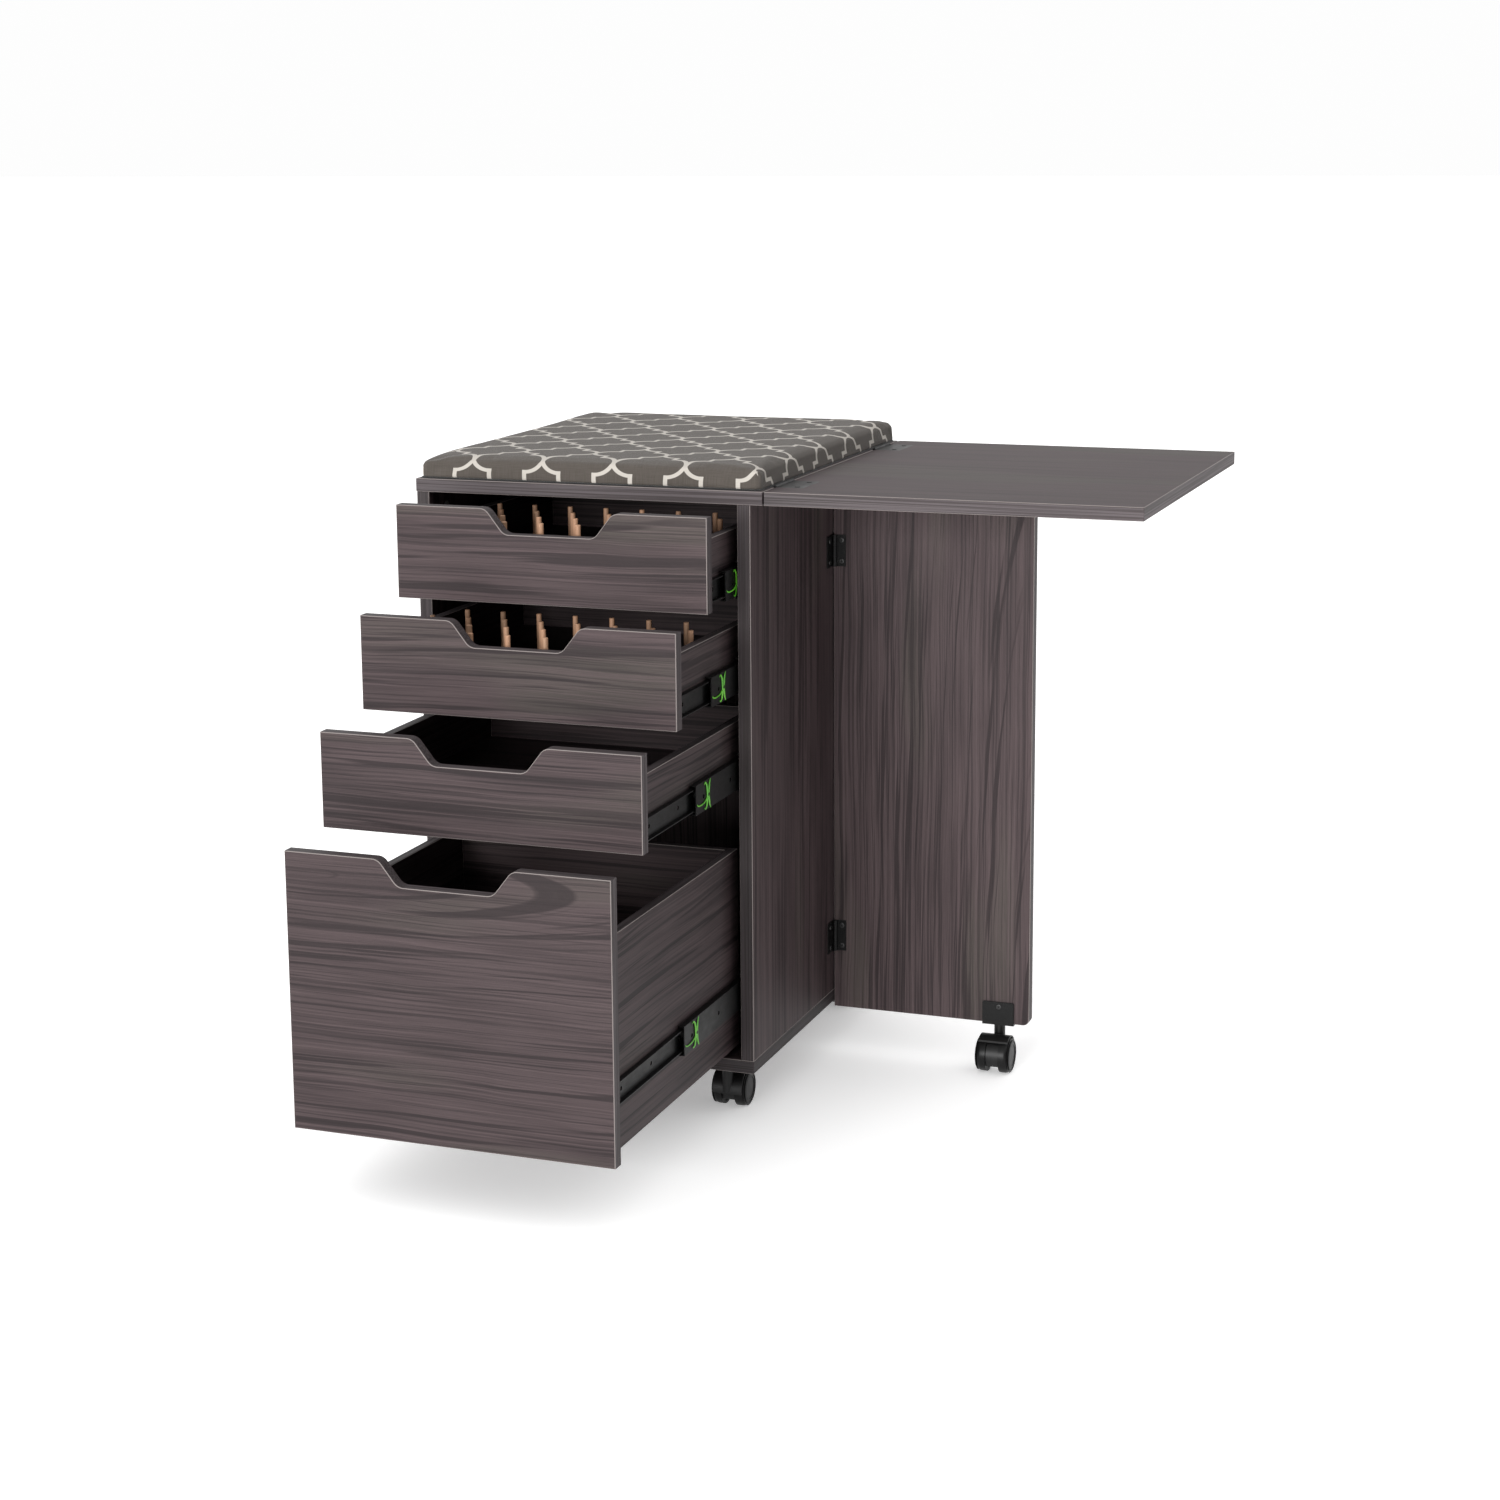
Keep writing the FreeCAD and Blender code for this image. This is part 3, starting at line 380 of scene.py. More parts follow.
# %% Dress the boards
dress("drawer_1_front", laminate("laminate_front_1", X_AXIS, Y_AXIS, 1.3, 0.62, 0.09, 0.02, 1.0))
dress("drawer_2_front", laminate("laminate_front_2", X_AXIS, Y_AXIS, 2.1, 0.60, 0.06, 0.10, 0.92))
dress("drawer_3_front", laminate("laminate_front_3", X_AXIS, Y_AXIS, 3.7, 0.42, 0.02, 0.10, 0.86))
dress("drawer_4_front", laminate("laminate_front_4", X_AXIS, Y_AXIS, 4.9, 0.22, 0.05, 0.12, 0.84))
dress("side_panel_left", laminate("laminate_side_left", Z_AXIS, X_AXIS, 5.3, 0.2, 0.05, 0.05, 0.9, 1.0, 0.42))
dress("side_panel_right", laminate("laminate_side_right", Z_AXIS, X_AXIS, 6.1, 0.5, 0.05, 0.05, 0.9, 1.0, 0.42))
# Painted light: the gate's print is set a little lighter (shade 1.05) than the fronts, to make up for the shade it
# stands in under the leaf and beside the cabinet.
dress("gate_panel", laminate("laminate_gate", Z_AXIS, Y_AXIS, 7.7, 0.10, 0.01, 0.10, 1.05))
dress("top_panel", laminate("laminate_top", X_AXIS, Z_AXIS, 8.3, 0.0, 0.08, 0.02, 1.0, 0.45, 1.05))
dress("leaf_panel", laminate("laminate_leaf", X_AXIS, Z_AXIS, 9.1, 0.0, 0.08, 0.02, 1.0, 0.45, 1.15))
dress("bottom_panel", laminate("laminate_bottom", X_AXIS, Z_AXIS, 10.9, 0.0, 0.08, 0.02, 0.8, 1.0, 0.42))
dress("back_panel", laminate("laminate_back", Z_AXIS, Y_AXIS, 11.7, 0.0, 0.08, 0.02, 0.8))
for number in (1, 2, 3, 4):
    walls = laminate("laminate_walls_%d" % number, Y_AXIS, X_AXIS, 12.0 + number, 0.15 * number, 0.07, 0.03, 0.72, 1.3)
    ends = laminate("laminate_ends_%d" % number, X_AXIS, Y_AXIS, 17.0 + number, 0.15 * number, 0.07, 0.03, 0.8)
    trays = laminate("laminate_trays_%d" % number, X_AXIS, Z_AXIS, 22.0 + number, 0.1, 0.07, 0.03, 0.6)
    dress("drawer_%d_box_sides" % number, walls)
    dress("drawer_%d_box_back" % number, ends)
    dress("drawer_%d_box_bottom" % number, trays)
print("boards dressed:", sum(m.name.startswith("laminate") for m in bpy.data.materials), "cuts of the print")

# %% [markdown]
# ## Pegs, plastic and steel
# Turned pegs are bare wood with end grain on the tips. The casters are moulded in black plastic, which is never
# quite black and carries a faint orange-peel. The slides and hinges are steel with a thin black plating: darker
# and glossier than plastic, with a fine scuff.


# %% Small-part materials
def peg_wood():
    material, shader = new_material("turned_peg_wood")
    tree = material.node_tree
    place = axes_of(tree, node(tree, "ShaderNodeTexCoord").outputs["Object"])
    length = streaks(tree, place[2], place[0], place[1], 22.0, 900.0, 3.0)
    each = streaks(tree, 0.0, place[0], place[1], 1.0, 21.0, 0.0)
    tone = blend_colour(tree, length, (0.20, 0.10, 0.06, 1.0), (0.50, 0.31, 0.19, 1.0))
    tone = blend_colour(tree, rise(tree, each, 0.3, 0.7), tone, (0.40, 0.22, 0.13, 1.0))
    plug(tree, shader.inputs["Base Color"], tone)
    plug(tree, shader.inputs["Roughness"], blend_number(tree, length, 0.72, 0.55))
    bump(tree, shader, length, 0.15 * MM, 0.5)
    return material


def moulded_plastic(name, dark, light, gloss=0.45, grain=900.0, shine=0.5):
    """Plastic with a fine moulded texture. dark and light are its two near tones."""
    material, shader = new_material(name)
    tree = material.node_tree
    place = node(tree, "ShaderNodeTexCoord").outputs["Object"]
    fine = noise(tree, place, grain, 2.0)
    wide = noise(tree, place, 45.0, 3.0)
    plug(tree, shader.inputs["Base Color"], blend_colour(tree, rise(tree, wide, 0.35, 0.7), dark, light))
    plug(tree, shader.inputs["Roughness"], blend_number(tree, wide, gloss - 0.08, gloss + 0.14))
    shader.inputs["Specular IOR Level"].default_value = shine
    bump(tree, shader, fine, 0.06 * MM, 0.5)
    return material


def plated_steel(name, dark, light, gloss=0.32):
    """Steel under a thin plating, with scuffs drawn along Y."""
    material, shader = new_material(name)
    tree = material.node_tree
    place = axes_of(tree, node(tree, "ShaderNodeTexCoord").outputs["Object"])
    scuffs = streaks(tree, place[1], place[0], place[2], 30.0, 1100.0, 3.0, 0.65)
    blotches = streaks(tree, place[1], place[0], place[2], 40.0, 70.0, 3.0)
    share = calc(tree, "MULTIPLY", rise(tree, scuffs, 0.5, 0.75), 0.7)
    plug(tree, shader.inputs["Base Color"], blend_colour(tree, share, dark, light))
    plug(tree, shader.inputs["Roughness"], blend_number(tree, blotches, gloss - 0.06, gloss + 0.2))
    shader.inputs["Metallic"].default_value = 0.75
    bump(tree, shader, scuffs, 0.04 * MM, 0.4)
    return material


def black_cloth():
    """Thin black dust cloth: a plain weave of 0.6 mm threads with loose fibres."""
    material, shader = new_material("black_dust_cloth")
    tree = material.node_tree
    place = axes_of(tree, node(tree, "ShaderNodeTexCoord").outputs["Object"])
    weft = calc(tree, "SINE", calc(tree, "MULTIPLY", calc(tree, "ADD", place[0], place[2]), 9000.0))
    warp = calc(tree, "SINE", calc(tree, "MULTIPLY", calc(tree, "ADD", place[1], place[2]), 9000.0))
    weave = calc(tree, "MULTIPLY", weft, warp)
    fluff = streaks(tree, place[0], place[1], place[2], 60.0, 300.0, 3.0)
    plug(tree, shader.inputs["Base Color"], blend_colour(tree, rise(tree, fluff, 0.4, 0.8), grey(0.010), grey(0.026)))
    shader.inputs["Roughness"].default_value = 0.92
    shader.inputs["Sheen Weight"].default_value = 0.25
    bump(tree, shader, weave, 0.15 * MM, 0.6)
    return material


# %% Dress the small parts
black_plastic = moulded_plastic("moulded_black_plastic", grey(0.004), grey(0.008), 0.42, 900.0, 0.3)
wheel_plastic = moulded_plastic("moulded_wheel_plastic", grey(0.004), grey(0.007), 0.34, 900.0, 0.18)
green_plastic = moulded_plastic("moulded_green_plastic", (0.06, 0.30, 0.012, 1.0), (0.12, 0.42, 0.025, 1.0), 0.4)
slide_steel = plated_steel("black_slide_steel", grey(0.006), grey(0.024), 0.38)
hinge_steel = plated_steel("black_hinge_steel", grey(0.007), grey(0.035), 0.40)
screw_steel = plated_steel("zinc_black_screw", grey(0.04), grey(0.16), 0.30)
cam_metal = plated_steel("cast_cam_metal", grey(0.32), grey(0.5), 0.4)
peg_material = peg_wood()
dust_cloth = black_cloth()

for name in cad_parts:
    if name.endswith("_fork"):
        dress(name, black_plastic)
    elif name.endswith("_wheels"):
        dress(name, wheel_plastic)
    elif name.endswith("_release_levers"):
        dress(name, green_plastic)
    elif "slide" in name:
        dress(name, slide_steel)
    elif "hinge" in name or name in ("caster_plates", "gate_caster_bracket"):
        dress(name, hinge_steel)
    elif name.endswith(("_pegs", "_peg_board")):
        dress(name, peg_material)
dress("cam_fasteners", cam_metal)
black_board = laminate("laminate_peg_board", X_AXIS, Z_AXIS, 31.0, 0.1, 0.07, 0.03, 0.35)
dress("drawer_1_peg_board", black_board)
dress("drawer_2_peg_board", black_board)
print("small parts dressed")

# %% [markdown]
# ### Release levers
# Each slide lets its drawer out when a small green lever is pressed. It is a flat moulding of two bars that bow
# away from each other, with thin springy horns at the ends and, towards the front, a long tail. A block with
# holes would miss that shape, so each bar is a path curve with a width at every point, made into a mesh and then
# pressed flat. One lever is modelled at the floor's centre and copied to the eight slides.

# %% Mesh helpers
def only(piece):
    """Select one piece and nothing else."""
    bpy.ops.object.select_all(action="DESELECT")
    piece.select_set(True)
    bpy.context.view_layer.objects.active = piece


def settle():
    """Put the place, turn and size of the chosen object into its mesh."""
    bpy.ops.object.transform_apply(location=True, rotation=True, scale=True)


def join_all(pieces, name):
    only(pieces[0])
    for piece in pieces[1:]:
        piece.select_set(True)
    bpy.ops.object.join()
    joined = bpy.context.object
    joined.name = name
    settle()
    return joined


def copy_to(piece, offset, name):
    """A copy with its own mesh, moved by offset."""
    only(piece)
    bpy.ops.object.duplicate()
    made = bpy.context.object
    made.name = name
    made.location = offset
    settle()
    return made


def clean_normals(piece):
    only(piece)
    bpy.ops.object.mode_set(mode="EDIT")
    bpy.ops.mesh.select_all(action="SELECT")
    bpy.ops.mesh.remove_doubles(threshold=0.00001)
    bpy.ops.mesh.normals_make_consistent(inside=False)
    bpy.ops.object.mode_set(mode="OBJECT")


# %% One lever
LEVER_SHEET = 1.6 * MM
LEVER_TAIL = 36 * MM
HUB_RADIUS = 3.4 * MM


def bowed_bar(points, widths):
    """A tapering flat bar in the YZ plane through points in millimetres."""
    bpy.ops.object.select_all(action="DESELECT")
    bpy.ops.curve.primitive_nurbs_path_add(radius=1, location=(0, 0, 0))
    bar = bpy.context.object
    path = bar.data.splines[0]
    path.points.add(len(points) - len(path.points))
    for knot, (y, z), width in zip(path.points, points, widths):
        knot.co = (0, y * MM, z * MM, 1)
        knot.radius = width / 2
    path.order_u = 3
    path.use_endpoint_u = True
    path.resolution_u = 4
    bar.data.bevel_depth = MM
    bar.data.bevel_resolution = 2
    bar.data.use_fill_caps = True
    bpy.ops.object.convert(target="MESH")
    bar = bpy.context.object
    bpy.ops.object.mode_set(mode="EDIT")
    bpy.ops.mesh.select_all(action="SELECT")
    bpy.ops.transform.resize(value=(LEVER_SHEET / (max(widths) * MM), 1, 1), center_override=(0, 0, 0))
    bpy.ops.object.mode_set(mode="OBJECT")
    return bar


def lever_hub():
    bpy.ops.object.select_all(action="DESELECT")
    bpy.ops.mesh.primitive_cylinder_add(vertices=20, radius=HUB_RADIUS, depth=LEVER_SHEET, rotation=(0, math.pi / 2, 0))
    hub = bpy.context.object
    settle()
    bpy.ops.object.mode_set(mode="EDIT")
    bpy.ops.mesh.select_all(action="SELECT")
    bpy.ops.mesh.bevel(offset=0.35 * MM, segments=2, affect="EDGES")
    bpy.ops.object.mode_set(mode="OBJECT")
    return hub


def release_lever():
    bars = [lever_hub()]
    for up in (1, -1):
        front = [(-2.0, 0), (-2.3, 4 * up), (-3.0, 8 * up), (-4.4, 12 * up)]
        front += [(-7.0, 15 * up), (-10.5, 15.6 * up), (-11.8, 13.6 * up)]
        rear = [(2.2, 0), (2.5, 4 * up), (3.2, 8 * up), (4.4, 12 * up), (6.2, 15.2 * up), (7.6, 17.0 * up)]
        bars.append(bowed_bar(front, [4.4, 4.4, 4.2, 3.6, 2.4, 1.7, 1.1]))
        bars.append(bowed_bar(rear, [4.4, 4.4, 4.2, 3.4, 2.2, 1.2]))
    tail = [(-2.0, -3.0), (-7.0, -6.0), (-14.0, -7.6), (-24.0, -8.2), (-34.0, -7.0), (-35.2, -4.6)]
    bars.append(bowed_bar(tail, [3.0, 2.2, 1.8, 1.6, 1.5, 1.0]))
    lever = join_all(bars, "lever_model")
    clean_normals(lever)
    only(lever)
    bpy.ops.object.shade_smooth_by_angle(angle=math.radians(40))
    return lever


lever_model = release_lever()
print("one lever:", len(lever_model.data.polygons), "faces")


# %% Eight levers
def fit_levers(number):
    low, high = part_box("drawer_%d_release_levers" % number)
    pivot_y = low.y + LEVER_TAIL
    middle_z = (low.z + high.z) / 2
    pair = []
    for x in (low.x + LEVER_SHEET / 2, high.x - LEVER_SHEET / 2):
        pair.append(copy_to(lever_model, (x, pivot_y, middle_z), "lever_copy"))
    levers = join_all(pair, "drawer_%d_levers_moulded" % number)
    levers.data.materials.clear()
    levers.data.materials.append(green_plastic)
    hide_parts("drawer_%d_release_levers" % number)
    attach(levers, "drawer_%d_levers" % number)


for number in (1, 2, 3, 4):
    fit_levers(number)
bpy.data.objects.remove(lever_model, do_unlink=True)
print("levers fitted to four pairs of slides")

# %% [markdown]
# ### Caster wheels
# A twin-wheel caster runs on two dish-shaped plastic wheels. Each has a flat tread, a broad rounded shoulder and
# a shallow ring groove round its hub cap. We shape one from a cylinder: bevel the shoulder, then inset the outer
# face several times, pushing each new face in or out a little. The same wheel, turned over, serves the other side.

# %% One wheel
WHEEL_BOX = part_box("caster_front_right_wheels")
WHEEL_RADIUS = (WHEEL_BOX[1].z - WHEEL_BOX[0].z) / 2
WHEEL_WIDTH = 13 * MM
WHEEL_SHOULDER = 6.5 * MM


def leave_edit():
    bpy.ops.object.mode_set(mode="OBJECT")


def choose_faces(piece, wanted):
    """Select in edit mode the faces whose middle and normal pass the test, and stay in edit mode."""
    only(piece)
    bpy.ops.object.mode_set(mode="EDIT")
    bpy.ops.mesh.select_mode(type="FACE")
    bpy.ops.mesh.select_all(action="DESELECT")
    bpy.ops.object.mode_set(mode="OBJECT")
    for face in piece.data.polygons:
        face.select = wanted(face.center, face.normal)
    bpy.ops.object.mode_set(mode="EDIT")


def caster_wheel():
    """A wheel on the X axis: its inner face at x = 0, its outer face at x = its width."""
    bpy.ops.object.select_all(action="DESELECT")
    bpy.ops.mesh.primitive_cylinder_add(
        vertices=56,
        radius=WHEEL_RADIUS,
        depth=WHEEL_WIDTH,
        location=(WHEEL_WIDTH / 2, 0, 0),
        rotation=(0, math.pi / 2, 0),
    )
    wheel = bpy.context.object
    wheel.name = "wheel_model"
    settle()
    choose_faces(wheel, lambda middle, normal: normal.x > 0.9)
    bpy.ops.mesh.bevel(offset=WHEEL_SHOULDER, segments=6, affect="EDGES")
    leave_edit()
    choose_faces(wheel, lambda middle, normal: normal.x > 0.99)
    for thickness, push in ((2.5, -0.1), (0.5, -0.7), (0.6, 0.0), (0.5, 0.7), (6.0, 0.1), (0.4, -0.4), (0.5, 0.4)):
        bpy.ops.mesh.inset(thickness=thickness * MM)
        bpy.ops.transform.translate(value=(push * MM, 0, 0))
    leave_edit()
    choose_faces(wheel, lambda middle, normal: normal.x < -0.99)
    bpy.ops.mesh.inset(thickness=3 * MM)
    bpy.ops.mesh.inset(thickness=0.8 * MM)
    bpy.ops.transform.translate(value=(1.2 * MM, 0, 0))
    leave_edit()
    clean_normals(wheel)
    only(wheel)
    bpy.ops.object.shade_smooth_by_angle(angle=math.radians(32))
    return wheel


wheel_model = caster_wheel()
print("one wheel:", len(wheel_model.data.polygons), "faces, radius", round(WHEEL_RADIUS, 4))


# %% Ten wheels
def turned_over(piece, name):
    """A copy turned by half a circle about Z, still at the centre."""
    only(piece)
    bpy.ops.object.duplicate()
    made = bpy.context.object
    made.name = name
    made.rotation_euler = (0, 0, math.pi)
    settle()
    return made


wheel_turned = turned_over(wheel_model, "wheel_turned")


def fit_wheels(caster):
    low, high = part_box("caster_%s_wheels" % caster)
    axle = (low + high) / 2
    left = copy_to(wheel_turned, (low.x + WHEEL_WIDTH, axle.y, axle.z), "wheel_copy")
    right = copy_to(wheel_model, (high.x - WHEEL_WIDTH, axle.y, axle.z), "wheel_copy")
    wheels = join_all([left, right], "caster_%s_wheels_moulded" % caster)
    wheels.data.materials.clear()
    wheels.data.materials.append(wheel_plastic)
    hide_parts("caster_%s_wheels" % caster)
    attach(wheels, "caster_%s_twin_wheels" % caster)


for caster in ("front_left", "front_right", "rear_left", "rear_right", "gate"):
    fit_wheels(caster)
for spare in (wheel_model, wheel_turned):
    bpy.data.objects.remove(spare, do_unlink=True)
print("wheels fitted to five casters")

# %% [markdown]
# ### Screws
# The butt hinges and the gate's caster bracket are held by cross-head screws. A low dome with its cross cut by a
# Boolean catches one small glint, which is what the eye looks for on a black plate. Each covers a plain CAD head.

# %% One cross-head screw
HEAD_RADIUS = 3.3 * MM
HEAD_RISE = 0.9 * MM
CROSS_LONG = 3.8 * MM
CROSS_WIDE = 0.8 * MM


def cross_head():
    """A screw head standing on z = 0 at the centre, facing up."""
    bpy.ops.object.select_all(action="DESELECT")
    middle = (0, 0, HEAD_RISE / 2)
    bpy.ops.mesh.primitive_cylinder_add(vertices=24, radius=HEAD_RADIUS, depth=HEAD_RISE, location=middle)
    head = bpy.context.object
    settle()
    choose_faces(head, lambda middle, normal: normal.z > 0.9)
    bpy.ops.mesh.bevel(offset=0.5 * MM, segments=3, affect="EDGES")
    leave_edit()
    for size in ((CROSS_LONG, CROSS_WIDE, MM), (CROSS_WIDE, CROSS_LONG, MM)):
        bpy.ops.object.select_all(action="DESELECT")
        bpy.ops.mesh.primitive_cube_add(size=1, location=(0, 0, HEAD_RISE), scale=size)
        cutter = bpy.context.object
        settle()
        only(head)
        cut = head.modifiers.new("cross", "BOOLEAN")
        cut.object = cutter
        cut.operation = "DIFFERENCE"
        bpy.ops.object.modifier_apply(modifier="cross")
        bpy.data.objects.remove(cutter, do_unlink=True)
    clean_normals(head)
    only(head)
    bpy.ops.object.shade_smooth_by_angle(angle=math.radians(35))
    head.name = "screw_model"
    return head


screw_model = cross_head()
print("one screw head:", len(screw_model.data.polygons), "faces")


# %% Screws on the plates
def drive_screws(name, body, places, turn):
    """Screws of one plate, each turned from facing up to face along its plate's normal."""
    heads = []
    for place in places:
        only(screw_model)
        bpy.ops.object.duplicate()
        head = bpy.context.object
        head.rotation_euler = turn
        head.location = place
        settle()
        heads.append(head)
    screws = join_all(heads, name)
    screws.data.materials.clear()
    screws.data.materials.append(screw_steel)
    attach(screws, body)


FACE_FRONT = (math.pi / 2, 0, 0)
FACE_RIGHT = (0, math.pi / 2, 0)
PROUD = 0.5 * MM
BRACKET_SCREW_DROP = 6 * MM

low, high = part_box("gate_caster_bracket")
middle_x = (low.x + high.x) / 2
drive_screws("bracket_screw", "gate", [(middle_x + MM, low.y + PROUD, high.z - BRACKET_SCREW_DROP)], FACE_FRONT)

HINGE_MIDDLE = 20 * MM
SCREW_SPREAD = 40 * MM / 3
HINGE_SHEET = 1.2 * MM
MOVING_PLATE_EDGE = 5.5 * MM
FIXED_PLATE_EDGE = 9.5 * MM
low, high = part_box("gate_hinge_moving_plates")
heights = [z + side for z in (low.z + HINGE_MIDDLE, high.z - HINGE_MIDDLE) for side in (-SCREW_SPREAD, SCREW_SPREAD)]
gate_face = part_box("gate_panel")[0].y - HINGE_SHEET
gate_column = high.x - MOVING_PLATE_EDGE
drive_screws("gate_hinge_screws", "gate", [(gate_column, gate_face, z) for z in heights], FACE_FRONT)
low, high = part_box("gate_hinge_fixed_plates")
side_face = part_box("side_panel_right")[1].x + HINGE_SHEET
side_column = low.y + FIXED_PLATE_EDGE
drive_screws("cabinet_hinge_screws", "cabinet", [(side_face, side_column, z) for z in heights], FACE_RIGHT)
print("nine screws driven")
bpy.data.objects.remove(screw_model, do_unlink=True)

# %% [markdown]
# ## The padded top
# A foam cushion in printed cotton, stapled under a thin board. A block with bevelled edges would look like a
# plank: real foam swells in the middle, its corners are pulled down, and its sides draw in between the corners.
# So we start a little smaller than the finished size, make an even mesh of it, and let Blender's cloth blow it up
# gently. The movement is then capped. The underside stays flat on its board.

# %% Cushion block
PAD_LOW, PAD_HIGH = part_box("pad_cushion")
BASE_LOW, BASE_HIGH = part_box("pad_base")
BASE_SHOWN = 1.6 * MM
PAD_LOW = Vector((PAD_LOW.x, PAD_LOW.y, BASE_LOW.z + BASE_SHOWN))
PAD_SHRINK = 1.6 * MM
PAD_CORNER = 5 * MM
PAD_EDGE = 4 * MM
PAD_WAIST = 1.4 * MM
PAD_VOXEL = 4.8 * MM
PAD_SWELL = 3.0 * MM


def add_block(name, low, high):
    """A block between two corners, with its place in its mesh."""
    low, high = Vector(low), Vector(high)
    bpy.ops.mesh.primitive_cube_add(size=1, location=(low + high) / 2, scale=high - low)
    piece = bpy.context.object
    piece.name = name
    settle()
    return piece


def choose_edges(piece, wanted):
    """Select in edit mode the edges whose two ends pass the test, and stay in edit mode."""
    only(piece)
    bpy.ops.object.mode_set(mode="EDIT")
    bpy.ops.mesh.select_mode(type="EDGE")
    bpy.ops.mesh.select_all(action="DESELECT")
    bpy.ops.object.mode_set(mode="OBJECT")
    for edge in piece.data.edges:
        ends = [piece.data.vertices[i].co for i in edge.vertices]
        edge.select = wanted(*ends)
    bpy.ops.object.mode_set(mode="EDIT")


def use_modifier(piece, kind, **settings):
    """Add a modifier, set it and apply it."""
    only(piece)
    made = piece.modifiers.new(kind.lower(), kind)
    for name, value in settings.items():
        setattr(made, name, value)
    bpy.ops.object.modifier_apply(modifier=made.name)


def cushion_block():
    inset = Vector((PAD_SHRINK, PAD_SHRINK, 0))
    block = add_block("pad_cushion_cover", PAD_LOW + inset, PAD_HIGH - inset - Vector((0, 0, PAD_SWELL)))
    choose_edges(block, lambda a, b: abs(a.z - b.z) > MM)
    bpy.ops.mesh.bevel(offset=PAD_CORNER, segments=4, affect="EDGES")
    leave_edit()
    top = max(v.co.z for v in block.data.vertices) - 0.1 * MM
    choose_edges(block, lambda a, b: a.z > top and b.z > top)
    bpy.ops.mesh.bevel(offset=PAD_EDGE, segments=3, affect="EDGES")
    leave_edit()
    use_modifier(block, "REMESH", mode="VOXEL", voxel_size=PAD_VOXEL)
    return block


bpy.ops.object.select_all(action="DESELECT")
cushion = cushion_block()
print("cushion block:", len(cushion.data.vertices), "even points")


# %% [markdown]
# The cloth run is short: pressure lifts the skin, gravity is off, and the underside is pinned with a vertex
# group. Afterwards each point keeps at most a few millimetres of its movement, bent smoothly to that limit, so
# that the cover never leaves the space kept for it.

# %% Swell the cushion
SWELL_FRAMES = 20
SWELL_LIMIT = 3.4 * MM
PINNED_HEIGHT = 1.5 * MM


def swell(piece):
    before = [v.co.copy() for v in piece.data.vertices]
    low = min(p.z for p in before)
    held = piece.vertex_groups.new(name="underside")
    held.add([v.index for v in piece.data.vertices if v.co.z < low + PINNED_HEIGHT], 1.0, "REPLACE")
    cloth = piece.modifiers.new("cloth", "CLOTH")
    cloth.settings.use_pressure = True
    cloth.settings.uniform_pressure_force = 2.0
    cloth.settings.effector_weights.gravity = 0.0
    cloth.settings.vertex_group_mass = "underside"
    cloth.settings.quality = 6
    cloth.settings.mass = 0.25
    cloth.settings.tension_stiffness = 25
    cloth.settings.compression_stiffness = 25
    cloth.settings.shear_stiffness = 10
    cloth.settings.bending_stiffness = 4
    cloth.point_cache.frame_start = 1
    cloth.point_cache.frame_end = SWELL_FRAMES
    for step in range(1, SWELL_FRAMES + 1):
        bpy.context.scene.frame_set(step)
    only(piece)
    bpy.ops.object.modifier_apply(modifier="cloth")
    bpy.context.scene.frame_set(1)
    furthest = 0.0
    for vertex, start in zip(piece.data.vertices, before):
        moved = vertex.co - start
        length = moved.length
        furthest = max(furthest, length)
        if length > 0:
            vertex.co = start + moved * (SWELL_LIMIT * math.tanh(length / SWELL_LIMIT) / length)
    print("furthest move of the skin:", round(furthest / MM, 1), "mm, kept under", SWELL_LIMIT / MM, "mm")


swell(cushion)


# %% [markdown]
# Next the cover gets the pull of its seams: the sides draw in between the corners and the four top corners are
# drawn down, most of all the one at the front left, which is the flattest on this cushion. One subdivision then
# smooths the skin.

# %% Pull the cover in
PAD_MIDDLE = (PAD_LOW + PAD_HIGH) / 2
PAD_HALF = (PAD_HIGH - PAD_LOW) / 2
CORNER_DROP = 2.0 * MM
FLAT_CORNER_DROP = 5.0 * MM


def pull_in(piece):
    for vertex in piece.data.vertices:
        x = (vertex.co.x - PAD_MIDDLE.x) / PAD_HALF.x
        y = (vertex.co.y - PAD_MIDDLE.y) / PAD_HALF.y
        height = min(1.0, max(0.0, (vertex.co.z - PAD_LOW.z) / (2 * PAD_HALF.z)))
        waist = PAD_WAIST * height
        vertex.co.x -= math.copysign(waist * abs(x) ** 8 * (1 - y * y), x)
        vertex.co.y -= math.copysign(waist * abs(y) ** 8 * (1 - x * x), y)
        corner = (abs(x) ** 6) * (abs(y) ** 6)
        left_front = max(0.0, -x) ** 3 * max(0.0, -y) ** 3
        vertex.co.z -= height * (CORNER_DROP * corner + FLAT_CORNER_DROP * left_front)
        vertex.co.z = max(vertex.co.z, PAD_LOW.z)


pull_in(cushion)
use_modifier(cushion, "SUBSURF", levels=1, render_levels=1)
only(cushion)
bpy.ops.object.shade_smooth()
cushion_top = max(v.co.z for v in cushion.data.vertices)
print("cushion cover:", len(cushion.data.polygons), "faces, top at", round(cushion_top, 4))

# %% [markdown]
# ### The board under the foam
# The cover wraps round a thin board, and black dust cloth closes it underneath. Only a thin black line shows
# below the fabric. It is a plate with rounded corners, dressed in the dust cloth.

# %% Base board
BOARD_CORNER = 6 * MM


def base_board():
    board = add_block("pad_base_board", BASE_LOW, (BASE_HIGH.x, BASE_HIGH.y, BASE_LOW.z + BASE_SHOWN))
    choose_edges(board, lambda a, b: abs(a.z - b.z) > BASE_SHOWN / 2)
    bpy.ops.mesh.bevel(offset=BOARD_CORNER, segments=5, affect="EDGES")
    leave_edit()
    board.data.materials.append(dust_cloth)
    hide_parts("pad_base")
    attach(board, "pad")
    return board


base_board()
print("pad board shows", BASE_SHOWN / MM, "mm below the fabric")

